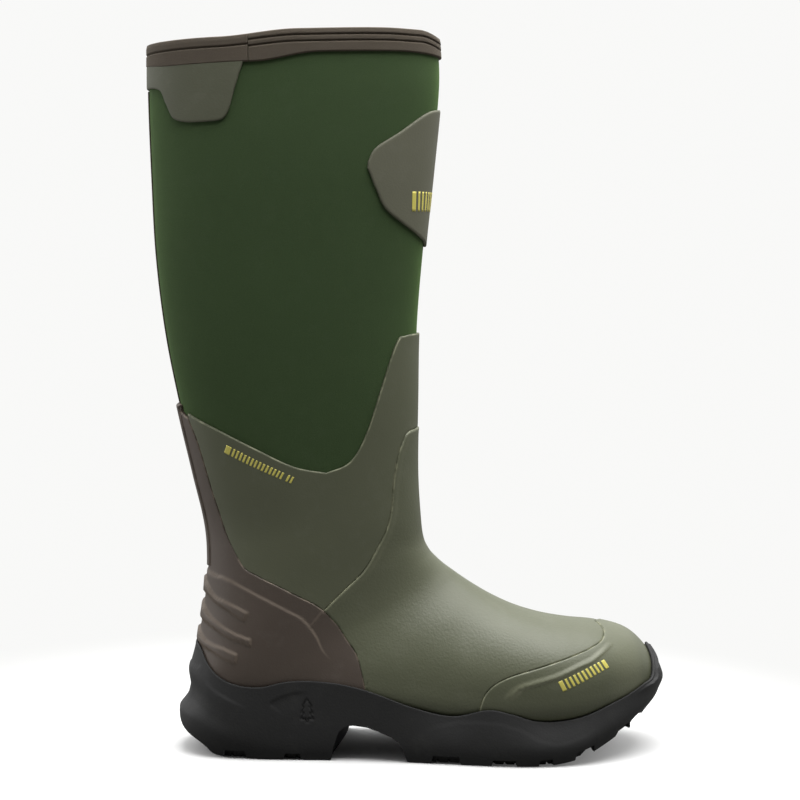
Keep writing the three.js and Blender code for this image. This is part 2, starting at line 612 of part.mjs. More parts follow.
/** The sole's wall at s from its top edge down to the tread. */
function soleWall(s, side) {
  const u = alongSole((o) => o.edge[0], s);
  const t = alongSole((o) => o.edge[1], s);
  const edge = layerPoint(side === 1 ? u : 1 - u, t, CLEARANCE + VAMP_RUBBER + SOLE_EDGE);
  const wide = solePlan(s, side, 0);
  const under = solePlan(s, side, alongSole((o) => o.under, s));
  const wideZ = alongSole((o) => o.wide, s) * lengthGrade;
  const floorZ = Math.max(0, alongSole((o) => o.floor, s) * lengthGrade);
  const curve = new THREE.CatmullRomCurve3([
    edge, new THREE.Vector3(wide.x, wide.y, wideZ), new THREE.Vector3(under.x, under.y, floorZ),
  ]);
  return curve.getPoints(4);
}

// The back centre line where it runs under the foot.
const keel = footRows().filter((t) => t > UNDER_HEEL && t < TOE_TIP).map((t) => skinPoint(0.5, t));

/** The height of the neoprene's underside at x. */
function soleLine(x) {
  const k = Math.min(Math.max(keel.findIndex((p) => p.x >= x), 1), keel.length - 1);
  const share = THREE.MathUtils.clamp((x - keel[k - 1].x) / (keel[k].x - keel[k - 1].x), 0, 1);
  return keel[k - 1].z + share * (keel[k].z - keel[k - 1].z);
}

// The arch, in side view: it rises steeply behind, follows the foot and comes down to the forefoot.
const ARCH_BACK = -55;
const ARCH_ROOF = { back: -43, middle: -35, front: -26 };
const ARCH_FALL = { knee: [-14, 0.62], foot: [-9, 0.15] }; // [x, share of the roof's height]
const ARCH_FRONT = -4;
const archRoof = (x) => soleLine(gradeX(x)) - ARCH_FLOOR;

/** The hollow of the arch. */
function archCutter() {
  const roofEnd = archRoof(ARCH_ROOF.front);
  return sidePrism([
    [gradeX(ARCH_BACK), -GROUND_SLACK], [gradeX(ARCH_BACK), 0],
    ...Object.values(ARCH_ROOF).map((x) => [gradeX(x), archRoof(x)]),
    ...Object.values(ARCH_FALL).map(([x, share]) => [gradeX(x), roofEnd * share]),
    [gradeX(ARCH_FRONT), 0], [gradeX(ARCH_FRONT), -GROUND_SLACK],
  ]);
}

const MIDSOLE_TOE = [[92, 0], [114, 6], [136, 17]]; // [x, how far its floor rises over the ball's]

/** The side view of the space that the midsole fills, with more room all round by room. */
function midsoleProfile(room) {
  const TOP_SLACK = 3;
  const overArch = (x) => archRoof(x) + ARCH_RUBBER;
  const knee = archRoof(ARCH_ROOF.front) * ARCH_FALL.knee[1] + ARCH_RUBBER + 1;
  const bottom = [
    [-140, HEEL_FLOOR], [-62, HEEL_FLOOR], [-45, overArch(ARCH_ROOF.back)],
    [ARCH_ROOF.front, overArch(ARCH_ROOF.front)], [-12, knee], [4, BALL_FLOOR],
    ...MIDSOLE_TOE.map(([x, rise]) => [x, BALL_FLOOR + rise]),
  ];
  const top = [...bottom].reverse().map(([x]) => [gradeX(x), soleLine(gradeX(x)) + TOP_SLACK + room]);
  return sidePrism([...bottom.map(([x, z]) => [gradeX(x), z - room]), ...top]);
}

/** The midsole's block before it is hollowed for the foot. */
function midsoleBlock(room) {
  const sides = [];
  for (let s = 1; s <= HALF - 2; s += 1) sides.push(s);
  const outline = [
    ...sides.map((s) => solePlan(s, 1, MIDSOLE_INSET - room)),
    ...sides.reverse().map((s) => solePlan(s, 2, MIDSOLE_INSET - room)),
  ];
  const plan = planPrism(outline.map((p) => [p.x, p.y]), -GROUND_SLACK, HEEL_SEAT + BALL_WIDTH);
  return plan.intersect(midsoleProfile(room));
}

// The shank lies under the foot from the heel to just behind the ball.
const SHANK_BACK = -92;

/** The shank with more room all round by room. */
function shankBlock(room) {
  const start = gradeX(SHANK_BACK) - room;
  const finish = gradeX(SHANK_BACK) + SHANK_LENGTH + room;
  const bends = keel.map((p) => p.x).filter((x) => x > start && x < finish);
  const line = (drop) => [start, ...bends, finish].map((x) => [x, soleLine(x) - SOLE_CUP - drop]);
  const profile = sidePrism([...line(SHANK_THICKNESS + room), ...line(-room).reverse()]);
  const halfWidth = SHANK_WIDTH / 2 + room;
  const strip = [[start, -halfWidth], [finish, -halfWidth], [finish, halfWidth], [start, halfWidth]];
  return planPrism(strip, 0, 2 * HEEL_SEAT).intersect(profile);
}

// Tread grooves across the sole [x of the middle, width], and the channel along the forefoot.
const GROOVES = [[-115, 11], [-80, 9], [14, 13], [48, 12], [74, 8]];
const GROOVE_SLANT = 0.2;
const ARM_OVERLAP = 0.1;         // of a groove's two arms at the middle, as a share of its width
const CHANNEL = { from: 22, to: 98, middle: -4, width: 7 };

/** All the tread's grooves as one cutter. */
function treadCutter() {
  const arm = BALL_WIDTH;
  const cutters = GROOVES.flatMap(([x, width]) => [-1, 1].map((side) => {
    const box = new THREE.BoxGeometry(width, arm, 2 * GROOVE_DEPTH);
    box.translate(0, side * (arm / 2 - width * ARM_OVERLAP), 0);
    box.rotateZ(side * GROOVE_SLANT);
    box.translate(gradeX(x), 0, 0);
    return solidFromGeometry(box);
  }));
  const channel = new THREE.BoxGeometry(gradeX(CHANNEL.to - CHANNEL.from), CHANNEL.width, 2 * GROOVE_DEPTH);
  channel.translate(gradeX((CHANNEL.from + CHANNEL.to) / 2), CHANNEL.middle * ballGrade, 0);
  return cutters.reduce((all, cutter) => all.add(cutter), solidFromGeometry(channel));
}

/** The outsole: a cup with a tread. */
function outsole() {
  const loops = [];
  for (let s = 0; s <= HALF; s += 1) loops.push([...soleWall(s, 1), ...soleWall(s, 2).reverse()]);
  return sweptSolid(loops)
    .subtract(filledBoot(SOLE_CUP))
    .subtract(overlayRoom(TOE_EDGES, TOE_RUBBER))
    .subtract(midsoleBlock(CLEARANCE))
    .subtract(archCutter())
    .subtract(treadCutter());
}

/** The midsole: it carries the insole board and holds the shank in a slot. */
function midsole() {
  return midsoleBlock(0)
    .subtract(filledBoot(SOLE_CUP))
    .subtract(overlayRoom(TOE_EDGES, TOE_RUBBER))
    .subtract(shankBlock(CLEARANCE));
}

/** The insole board: a sheet under the foot that follows it. */
function insoleBoard() {
  const BOARD_INSET = 26;
  const outline = [];
  const last = HALF - 3;
  for (let s = 1; s <= last; s += 1) outline.push(solePlan(s, 1, BOARD_INSET));
  for (let s = last; s >= 1; s -= 1) outline.push(solePlan(s, 2, BOARD_INSET));
  const plan = planPrism(outline.map((p) => [p.x, p.y]), 0, HEEL_SEAT + FOOTBED);
  return filledBoot(CLEARANCE + BOARD).subtract(filledBoot(CLEARANCE)).intersect(plan);
}

/** The footbed: it fills the bottom of the lining up to its own thickness. */
function footbed() {
  const bottom = NEOPRENE + LINING + 2 * CLEARANCE + CLEARANCE;
  const ends = [-LAST_LENGTH, ...keel.map((p) => p.x), LAST_LENGTH];
  const top = ends.map((x) => [x, soleLine(x) + bottom + FOOTBED]);
  const under = [[LAST_LENGTH, -GROUND_SLACK], [-LAST_LENGTH, -GROUND_SLACK]];
  return filledBoot(LINING_IN - CLEARANCE).intersect(sidePrism([...top, ...under]));
}

// ---- Assembly ---------------------------------------------------------------------------------------

const FINISH = {
  neoprene: { color: 0x3b4c31, roughness: 0.85 },
  lining: { color: 0x6b6a5e, roughness: 0.95 },
  olive: { color: 0x4a4d3b, roughness: 0.6 },
  oliveLight: { color: 0x5a5d49, roughness: 0.55 },
  brown: { color: 0x453a36, roughness: 0.6 },
  black: { color: 0x2a2a2b, roughness: 0.7 },
  binding: { color: 0x4d473e, roughness: 0.9 },
  foam: { color: 0x9a9a92, roughness: 0.9 },
  board: { color: 0x8a6f52, roughness: 0.9 },
  steel: { color: 0x9a9da0, roughness: 0.35, metalness: 1 },
};

const boot = new THREE.Group();
const parts = new THREE.Group();
boot.add(parts);

/** Adds a solid to the boot as a named mesh. */
function addPart(name, finish, solid) {
  const { numProp, vertProperties, triVerts } = mainBody(solid).getMesh();
  const geometry = new THREE.BufferGeometry();
  geometry.setAttribute('position', new THREE.BufferAttribute(new Float32Array(vertProperties), numProp));
  geometry.setIndex(new THREE.BufferAttribute(new Uint32Array(triVerts), 1));
  geometry.computeVertexNormals();
  const material = new THREE.MeshStandardMaterial({ metalness: 0, ...FINISH[finish] });
  const mesh = new THREE.Mesh(geometry, material);
  mesh.name = name;
  parts.add(mesh);
}

addPart('neoprene_shaft', 'neoprene', layerSolid(shaftRows, 0, -NEOPRENE));
addPart('bootie_foot', 'neoprene', layerSolid(footRows, 0, -NEOPRENE));
addPart('lining_shaft', 'lining', layerSolid(shaftRows, LINING_OUT, LINING_IN));
addPart('lining_foot', 'lining', layerSolid(footRows, LINING_OUT, LINING_IN));
addPart('footbed', 'foam', footbed());
addPart('insole_board', 'board', insoleBoard());
addPart('shank', 'steel', shankBlock(0));
addPart('midsole', 'foam', midsole());
addPart('outsole', 'black', outsole());
addPart('ankle_shell', 'olive', overlay(ANKLE_EDGES, ANKLE_RUBBER));
addPart('vamp_shell', 'oliveLight', overlay(VAMP_EDGES, VAMP_RUBBER)
  .subtract(overlayRoom(ANKLE_EDGES, VAMP_RUBBER)));
addPart('toe_cap', 'oliveLight', overlay(TOE_EDGES, TOE_RUBBER)
  .subtract(overlayRoom(VAMP_EDGES, TOE_RUBBER)));
addPart('heel_stiffener', 'board', overlay(STIFFENER_EDGES, STIFFENER));
addPart('heel_counter', 'brown', overlay(HEEL_EDGES, HEEL_RUBBER)
  .subtract(overlayRoom(ANKLE_EDGES, HEEL_RUBBER))
  .subtract(overlayRoom(VAMP_EDGES, HEEL_RUBBER))
  .subtract(overlayRoom(STIFFENER_EDGES, STIFFENER))
  .subtract(overlayRoom(SPINE_EDGES, SPINE_RUBBER)));
addPart('heel_spine', 'brown', overlay(SPINE_EDGES, SPINE_RUBBER));
addPart('back_seam_tape', 'binding', overlay(TAPE_EDGES, SEAM_TAPE));
addPart('pull_patch', 'olive', overlay(PATCH_EDGES, PATCH));
addPart('shin_badge', 'oliveLight', overlay(BADGE_EDGES, BADGE));
addPart('binding_front', 'binding', bindingPiece(-BINDING_JOINT, BINDING_JOINT));
addPart('binding_back', 'binding', bindingPiece(BINDING_JOINT, 1 - BINDING_JOINT));

// The origin is under the middle of the boot's box, on the ground.
const box = new THREE.Box3().setFromObject(parts);
parts.position.set(-(box.min.x + box.max.x) / 2, -(box.min.y + box.max.y) / 2, -box.min.z);

export default boot;
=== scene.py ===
"""An insulated hunting boot for the right foot, standing on the ground with its toe towards +X.

Every layer follows one surface, the outside of the neoprene. A point on it has two coordinates.
u runs once round the leg: 0 at the front centre line, over the outer side (-Y) to 0.5 at the back centre
line, and on over the inner side to 1. t runs down from the rim (0), through the ankle (7) and the heel (11),
to the tip of the toe (22). The section at each whole t is listed in SECTIONS, and those between follow from
them by Catmull-Rom. A section runs from a point on the front centre line to one on the back centre line. Its
front and back halves are superellipse halves: with a the angle from the front, the share of the way back
goes with |cos a| to the power 2/n, and the half width with |sin a| to the power 2/n. u is even along the
section's length. A layer's points lie at its offset along the surface's outward normal.

Lengths are millimetres in the last's own frame until to_frame() turns them into metres in the row frame.
"""

import math

import bpy
import numpy as np
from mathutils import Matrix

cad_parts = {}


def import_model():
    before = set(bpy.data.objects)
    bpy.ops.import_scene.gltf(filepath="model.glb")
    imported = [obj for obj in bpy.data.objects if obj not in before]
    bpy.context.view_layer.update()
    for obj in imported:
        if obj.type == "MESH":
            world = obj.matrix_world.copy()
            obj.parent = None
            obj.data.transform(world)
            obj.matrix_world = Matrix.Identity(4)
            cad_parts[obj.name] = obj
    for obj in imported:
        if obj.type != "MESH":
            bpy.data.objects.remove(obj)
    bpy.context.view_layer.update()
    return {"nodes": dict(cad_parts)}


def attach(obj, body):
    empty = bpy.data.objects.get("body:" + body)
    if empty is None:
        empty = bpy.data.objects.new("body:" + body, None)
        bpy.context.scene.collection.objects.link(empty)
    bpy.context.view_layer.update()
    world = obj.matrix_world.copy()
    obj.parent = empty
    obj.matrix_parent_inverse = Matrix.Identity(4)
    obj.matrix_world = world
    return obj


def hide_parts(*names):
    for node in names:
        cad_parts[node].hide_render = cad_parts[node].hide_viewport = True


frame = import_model()

SHIFT = np.array([8.9005, 4.75, 0.0])
MM = 0.001
UNWORN = 9.0  # a distance to the edge, in mm, beyond any wear

# ---- The surface ------------------------------------------------------------------------------------

# front x, z; back x, z; outer and inner half width; sideways shift; widest share; front and back exponent
SECTIONS = np.array([
    [10.8, 446.8, -170.5, 443.0, 42, 42, 0, 0.5, 2.3, 2.3],
    [11.5, 416.9, -170.5, 410.6, 43, 43, 0, 0.5, 2.3, 2.3],
    [6.8, 366.8, -169.0, 363.0, 43, 43, 0, 0.5, 2.3, 2.3],
    [1.5, 316.4, -166.6, 312.7, 42, 42, 0, 0.5, 2.3, 2.3],
    [-2.3, 269.0, -161.0, 264.5, 41, 41, 0, 0.5, 2.3, 2.3],
    [-3.2, 221.2, -152.5, 220.0, 39.5, 39.5, 0, 0.5, 2.3, 2.3],
    [-3.8, 177.7, -142.6, 176.4, 38, 38, 0, 0.5, 2.25, 2.2],
    [-2.2, 147.5, -135.2, 144.3, 37, 37, 0, 0.52, 2.2, 2.1],
    [-0.3, 132.7, -133.4, 121.1, 37, 37, 0, 0.55, 2.1, 2.1],
    [3.6, 124.3, -134.9, 95.2, 37, 37, 0, 0.6, 2.1, 2.1],
    [8.1, 119.2, -138.9, 68.0, 37.5, 37.5, 0, 0.65, 2.1, 2.15],
    [13.2, 114.6, -139.8, 45.0, 38, 38, 0, 0.68, 2.1, 2.5],
    [18.4, 110.8, -127.6, 32.5, 38.5, 38.5, 0, 0.7, 2.1, 3.0],
    [24.8, 106.2, -93.5, 31.3, 39.5, 39, 0, 0.7, 2.1, 3.4],
    [33.8, 100.4, -53.0, 30.0, 42, 41, -1, 0.69, 2.1, 3.6],
    [45.3, 93.9, -9.8, 25.0, 45.5, 43, -2, 0.67, 2.1, 3.6],
    [59.5, 87.5, 30.8, 20.5, 49.5, 45, -3, 0.65, 2.15, 3.4],
    [76.2, 82.3, 66.8, 19.0, 51.5, 46, -3, 0.63, 2.2, 3.2],
    [93.5, 79.0, 93.9, 20.5, 50, 45, -2, 0.61, 2.25, 3.0],
    [112.8, 76.4, 116.4, 24.5, 44.5, 41, 1, 0.58, 2.3, 2.8],
    [129.5, 70.6, 133.7, 30.9, 34, 32, 4, 0.55, 2.2, 2.5],
    [141.2, 60.2, 143.6, 37.4, 20, 19, 6, 0.52, 2.1, 2.2],
    [146.4, 48.5, 146.4, 48.5, 0, 0, 7, 0.5, 2.0, 2.0],
])

T_LOW = -0.6  # the surface goes on this far above the rim
T_STEP = 0.04
TOE_TIP = 22.0
U_COUNT = 720
# About how many millimetres one whole step of u or of t is, and one millimetre below the rim in t
UT_MM = np.array([420.0, 28.0])
T_PER_MM = 1 / 30


def catmull(rows, s):
    """Catmull-Rom through rows at s: row 1 is s = 0, and rows 0 and -1 are only there to steer the ends."""
    s = np.asarray(s, float)
    i = np.clip(np.floor(s).astype(int), 0, len(rows) - 4)
    f = (s - i).reshape(s.shape + (1,) * (rows.ndim - 1))
    a, b, c, d = rows[i], rows[i + 1], rows[i + 2], rows[i + 3]
    square = 2 * a - 5 * b + 4 * c - d
    cube = 3 * b - a - 3 * c + d
    return 0.5 * (2 * b + (c - a) * f + square * f**2 + cube * f**3)


def guided(rows, last=None):
    """rows with a steering row before and after. The one after continues straight unless it is given."""
    after = 2 * rows[-1] - rows[-2] if last is None else last
    return np.concatenate([[2 * rows[0] - rows[1]], rows, [after]])


def lengths_to(line):
    """The length along a polyline up to each of its points."""
    return np.concatenate([[0], np.cumsum(np.linalg.norm(np.diff(line, axis=0), axis=1))])


def picked(line, measures, places):
    """Points of a polyline at the given places, counted in the measures of its own points."""
    return np.stack([np.interp(places, measures, column) for column in line.T], -1)


def spaced(line, measures, count):
    """count points of a polyline, evenly spaced in the measures of its own points."""
    return picked(line, measures, np.linspace(0, measures[-1], count))


def spaced_rows(x, y, z, count):
    """count points evenly spaced along each row of points x, y, z."""
    return np.stack([spaced(row, lengths_to(row), count) for row in np.stack([x, y, z], -1)])


def build_tables():
    """The surface's points and normals on an even grid of t and u. Beyond the toe's tip the sections mirror
    those before it, so that the surface closes as a dome."""
    t = np.arange(round((TOE_TIP - T_LOW) / T_STEP) + 1) * T_STEP + T_LOW
    tip = SECTIONS[-2].copy()
    mirrored = np.concatenate([tip[2:4], tip[0:2], -tip[4:6], tip[6:]])
    rows = catmull(guided(SECTIONS, mirrored), t)
    front_x, front_z, back_x, back_z, outer, inner, shift, widest, front_n, back_n = rows.T[:, :, None]
    angle = np.linspace(0, math.pi, 721)[None, :]
    in_front = np.cos(angle) >= 0
    power = 2 / np.where(in_front, front_n, back_n)
    along = np.abs(np.cos(angle)) ** power
    share = np.where(in_front, widest * (1 - along), widest + (1 - widest) * along)
    out = np.abs(np.sin(angle)) ** power
    x = front_x + (back_x - front_x) * share
    z = front_z + (back_z - front_z) * share
    half = U_COUNT // 2 + 1
    outer_side = spaced_rows(x, shift - outer * out, z, half)
    inner_side = spaced_rows(x, shift + inner * out, z, half)
    points = np.concatenate([outer_side, inner_side[:, -2:0:-1]], 1)
    across = np.roll(points, -1, 1) - np.roll(points, 1, 1)
    down = np.gradient(points, axis=0)
    normals = np.cross(across, down)
    normals /= np.linalg.norm(normals, axis=2, keepdims=True) + 1e-12
    normals[-1] = (1, 0, 0)
    return [np.concatenate([grid, grid[:, :1]], 1) for grid in (points, normals)]


POINTS, NORMALS = build_tables()


def between(table, u, t):
    """The table's value at u, t, straight between its four nearest entries."""
    fu = (np.asarray(u, float) % 1.0) * U_COUNT
    ft = np.clip((np.asarray(t, float) - T_LOW) / T_STEP, 0, len(table) - 1.000001)
    iu = np.minimum(fu.astype(int), U_COUNT - 1)
    it = ft.astype(int)
    a = (fu - iu)[..., None]
    b = (ft - it)[..., None]
    upper = table[it, iu] * (1 - a) + table[it, iu + 1] * a
    lower = table[it + 1, iu] * (1 - a) + table[it + 1, iu + 1] * a
    return upper * (1 - b) + lower * b


def skin(u, t, off=0.0):
    """Points at distance off outside the neoprene's face at u, t."""
    u, t = np.broadcast_arrays(np.asarray(u, float), np.asarray(t, float))
    normal = between(NORMALS, u, t)
    normal /= np.linalg.norm(normal, axis=-1, keepdims=True)
    return between(POINTS, u, t) + normal * np.broadcast_to(off, u.shape)[..., None]


def smooth(low, high, value):
    """0 below low, 1 above high, and a smooth rise between."""
    f = np.clip((value - low) / (high - low), 0, 1)
    return f * f * (3 - 2 * f)


# ---- Meshes -----------------------------------------------------------------------------------------


def grid_faces(rows, columns, wrap=False, first=0):
    """Quads over a grid of rows by columns; wrap joins the last row to the first."""
    i = np.arange(rows if wrap else rows - 1)[:, None]
    j = np.arange(columns - 1)[None, :]
    n = (i + 1) % rows
    corners = [i * columns + j, n * columns + j, n * columns + j + 1, i * columns + j + 1]
    return np.stack([c + first for c in corners], -1).reshape(-1, 4)


def shell(outside, inside, wrap=False):
    """Points and quads of the solid between two grids, closed round its border."""
    rows, columns = outside.shape[:2]
    count = rows * columns
    faces = [grid_faces(rows, columns, wrap), grid_faces(rows, columns, wrap, count)[:, ::-1]]
    index = np.arange(count).reshape(rows, columns)
    lines = [index[:, 0], index[::-1, -1]]
    if wrap:
        lines = [np.append(line, line[0]) for line in lines]
    else:
        lines += [index[-1, :], index[0, ::-1]]
    for line in lines:
        faces.append(np.stack([line[1:], line[:-1], line[:-1] + count, line[1:] + count], -1))
    points = np.concatenate([outside.reshape(-1, 3), inside.reshape(-1, 3)])
    return points, np.concatenate(faces)


def to_frame(points):
    """From millimetres on the last to metres in the row frame."""
    return (np.asarray(points) + SHIFT) * MM


def add_mesh(name, points, faces, material, nodes, values=None, sharp=None):
    """A piece of the boot from points in the last's millimetres and quads, with named values per point."""
    mesh = bpy.data.meshes.new(name)
    faces = np.asarray(faces, np.int32)
    mesh.vertices.add(len(points))
    mesh.vertices.foreach_set("co", to_frame(points).astype(np.float32).ravel())
    mesh.loops.add(faces.size)
    mesh.loops.foreach_set("vertex_index", faces.ravel())
    mesh.polygons.add(len(faces))
    mesh.polygons.foreach_set("loop_start", np.arange(len(faces), dtype=np.int32) * 4)
    mesh.update(calc_edges=True)
    mesh.shade_smooth()
    if sharp is not None:
        mesh.set_sharp_from_angle(angle=math.radians(sharp))
    for key, value in (values or {}).items():
        layer = mesh.attributes.new(key, "FLOAT", "POINT")
        layer.data.foreach_set("value", np.asarray(value, np.float32).ravel())
    mesh.materials.append(material)
    piece = bpy.data.objects.new(name, mesh)
    bpy.context.scene.collection.objects.link(piece)
    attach(piece, "root")
    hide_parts(*nodes)
    return piece


# ---- Shaders ----------------------------------------------------------------------------------------


def wire(tree, kind, inputs, output=0, **settings):
    """A shader node with its settings and its inputs, each a socket or a value. Gives back one output."""
    node = tree.nodes.new("ShaderNode" + kind)
    for key, value in settings.items():
        setattr(node, key, value)
    for key, value in inputs.items():
        if isinstance(value, bpy.types.NodeSocket):
            tree.links.new(value, node.inputs[key])
        else:
            node.inputs[key].default_value = value
    return node.outputs[output]


def calculate(tree, operation, first, second, clamp=False):
    """What a calculation makes of two sockets or numbers."""
    return wire(tree, "Math", {0: first, 1: second}, operation=operation, use_clamp=clamp)


def ramp(tree, source, low, high):
    """0 where source is under low, 1 over high, and a smooth rise between."""
    limits = {"Value": source, "From Min": low, "From Max": high}
    return wire(tree, "MapRange", limits, "Result", interpolation_type="SMOOTHSTEP")


def blend(tree, share, first, second):
    """A mix of two colours."""
    return wire(tree, "Mix", {0: share, 6: first, 7: second}, 2, data_type="RGBA")


def noise(tree, scale, detail, roughness=0.5):
    """Noise over the object's own coordinates."""
    place = wire(tree, "TexCoord", {}, "Object")
    values = {"Vector": place, "Scale": scale, "Detail": detail, "Roughness": roughness}
    return wire(tree, "TexNoise", values, "Fac")


def new_group(name, inputs, outputs):
    """A shader group with inputs {name: default} and outputs {name: kind}, and the sockets inside it."""
    group = bpy.data.node_groups.new(name, "ShaderNodeTree")
    for label, default in inputs.items():
        kind = "NodeSocketColor" if isinstance(default, tuple) else "NodeSocketFloat"
        socket = group.interface.new_socket(name=label, in_out="INPUT", socket_type=kind)
        socket.default_value = default
    for label, kind in outputs.items():
        group.interface.new_socket(name=label, in_out="OUTPUT", socket_type=kind)
    return group, group.nodes.new("NodeGroupInput").outputs, group.nodes.new("NodeGroupOutput").inputs


def bumps(group, entry, fine, wide):
    """The normal of fine relief over wide relief, with the group's own depths."""
    under = wire(group, "Bump", {"Distance": entry["Waves"], "Height": wide})
    return wire(group, "Bump", {"Distance": entry["Depth"], "Height": fine, "Normal": under})


def make_grain():
    """Fine pebble on moulded rubber with faint wider waves from the hand that laid it."""
    inputs = {"Scale": 900.0, "Depth": 0.00006, "Waves": 0.0003}
    group, entry, leave = new_group("RubberGrain", inputs, {"Normal": "NodeSocketVector"})
    pebble = noise(group, entry["Scale"], 2.0)
    group.links.new(bumps(group, entry, pebble, noise(group, 38.0, 1.0)), leave["Normal"])
    return group


def make_knit():
    """Fine knit face: two crossing waves broken by noise, over faint wide unevenness."""
    inputs = {"Scale": 900.0, "Depth": 0.00008, "Waves": 0.0006}
    outputs = {"Normal": "NodeSocketVector", "Height": "NodeSocketFloat"}
    group, entry, leave = new_group("KnitFace", inputs, outputs)
    place = wire(group, "TexCoord", {}, "Object")
    rows = {"Vector": place, "Scale": entry["Scale"], "Distortion": 1.6, "Detail": 1.0}
    waves = [wire(group, "TexWave", rows, "Fac", bands_direction=axis) for axis in ("X", "Z")]
    rough = calculate(group, "MULTIPLY", noise(group, 1400.0, 2.0), 0.8)
    height = calculate(group, "ADD", calculate(group, "MULTIPLY", *waves), rough)
    group.links.new(bumps(group, entry, height, noise(group, 26.0, 2.0)), leave["Normal"])
    group.links.new(height, leave["Height"])
    return group


def make_edge_wear_and_highlight():
    """Paler rubber along a trimmed edge, in broken stretches, as wear, and a painted highlight along moulded
    relief where it is steep. Edge is the distance to the piece's edge in millimetres and crest_highlight is
    how steep the relief is, both kept on each point."""
    inputs = {
        "Color": (0.1, 0.1, 0.1, 1),
        "Worn And Highlight": (0.3, 0.3, 0.25, 1),
        "Amount": 0.5,
        "Width": 0.9,
        "Crest Highlight": 0.4,
    }
    group, entry, leave = new_group("EdgeWearAndHighlight", inputs, {"Color": "NodeSocketColor"})
    edge = wire(group, "Attribute", {}, "Fac", attribute_name="edge")
    crest_highlight = wire(group, "Attribute", {}, "Fac", attribute_name="crest_highlight")
    near = calculate(group, "SUBTRACT", 1.0, calculate(group, "DIVIDE", edge, entry["Width"]), True)
    broken = ramp(group, noise(group, 120.0, 3.0), 0.42, 0.62)
    rubbed = calculate(group, "MULTIPLY", calculate(group, "MULTIPLY", near, broken), entry["Amount"], True)
    # Painted highlight: paler colour along the crests of moulded relief, where light would catch them.
    painted_highlight = calculate(group, "MULTIPLY", crest_highlight, entry["Crest Highlight"])
    amount = calculate(group, "MAXIMUM", rubbed, painted_highlight, True)
    group.links.new(blend(group, amount, entry["Color"], entry["Worn And Highlight"]), leave["Color"])
    return group


def make_patina():
    """Slow changes of tone over a surface and a trace of pale dust."""
    inputs = {"Color": (0.1, 0.1, 0.1, 1), "Variation": 0.15, "Dust": 0.05}
    group, entry, leave = new_group("Patina", inputs, {"Color": "NodeSocketColor"})
    slow = calculate(group, "SUBTRACT", noise(group, 14.0, 3.0), 0.5)
    tone = calculate(group, "ADD", calculate(group, "MULTIPLY", slow, entry["Variation"]), 1.0)
    toned = wire(group, "VectorMath", {0: entry["Color"], "Scale": tone}, operation="SCALE")
    spots = ramp(group, noise(group, 60.0, 6.0, 0.7), 0.5, 0.75)
    dust = calculate(group, "MULTIPLY", spots, entry["Dust"])
    group.links.new(blend(group, dust, toned, (0.35, 0.34, 0.3, 1)), leave["Color"])
    return group


GRAIN = make_grain()
KNIT = make_knit()
EDGE_WEAR_AND_HIGHLIGHT = make_edge_wear_and_highlight()
PATINA = make_patina()


def linear(*channels):
    """A colour of 0 to 255 per channel, none under 11, as the linear colour that shaders take."""
    return tuple(((value / 255 + 0.055) / 1.055) ** 2.4 for value in channels) + (1.0,)


def new_material(name, **values):
    """A material, its tree and its shader, with the shader's inputs set."""
    material = bpy.data.materials.new(name)
    material.use_nodes = True
    shader = material.node_tree.nodes["Principled BSDF"]
    for key, value in values.items():
        shader.inputs[key.replace("_", " ")].default_value = value
    return material, material.node_tree, shader


def rubber(name, colour, roughness, worn_and_highlight, wear=0.5, grain=900.0, depth=0.00006, waves=0.0003, dust=0.04,
           crest_highlight=0.3, shine=0.45):
    """Moulded rubber with grain, tone changes, paler worn edges and a painted highlight along its relief."""
    material, tree, shader = new_material(name, Roughness=roughness, Specular_IOR_Level=shine)
    tone = {"Color": colour, "Variation": 0.16, "Dust": dust}
    edges = {"Worn And Highlight": worn_and_highlight, "Amount": wear, "Crest Highlight": crest_highlight}
    edges["Color"] = wire(tree, "Group", tone, node_tree=PATINA)
    relief = {"Scale": grain, "Depth": depth, "Waves": waves}
    tree.links.new(wire(tree, "Group", edges, node_tree=EDGE_WEAR_AND_HIGHLIGHT), shader.inputs["Base Color"])
    tree.links.new(wire(tree, "Group", relief, node_tree=GRAIN), shader.inputs["Normal"])
    return material


def knit(name, colour, roughness, scale, depth, waves, sheen, tint):
    """A knitted face with sheen on its fibres, and painted shade that darkens it between its threads."""
    fibres = {"Sheen_Weight": sheen, "Sheen_Roughness": 0.5, "Sheen_Tint": tint}
    material, tree, shader = new_material(name, Roughness=roughness, Specular_IOR_Level=0.2, **fibres)
    tone = wire(tree, "Group", {"Color": colour, "Variation": 0.2, "Dust": 0.02}, node_tree=PATINA)
    normal = wire(tree, "Group", {"Scale": scale, "Depth": depth, "Waves": waves}, node_tree=KNIT)
    # Painted shade: the colour darkened where the knit's relief is low, between the threads.
    painted_shade_between_threads = tuple(0.72 * c for c in colour[:3]) + (1.0,)
    shade = ramp(tree, normal.node.outputs["Height"], 0.0, 1.1)
    tree.links.new(blend(tree, shade, painted_shade_between_threads, tone), shader.inputs["Base Color"])
    tree.links.new(normal, shader.inputs["Normal"])
    return material


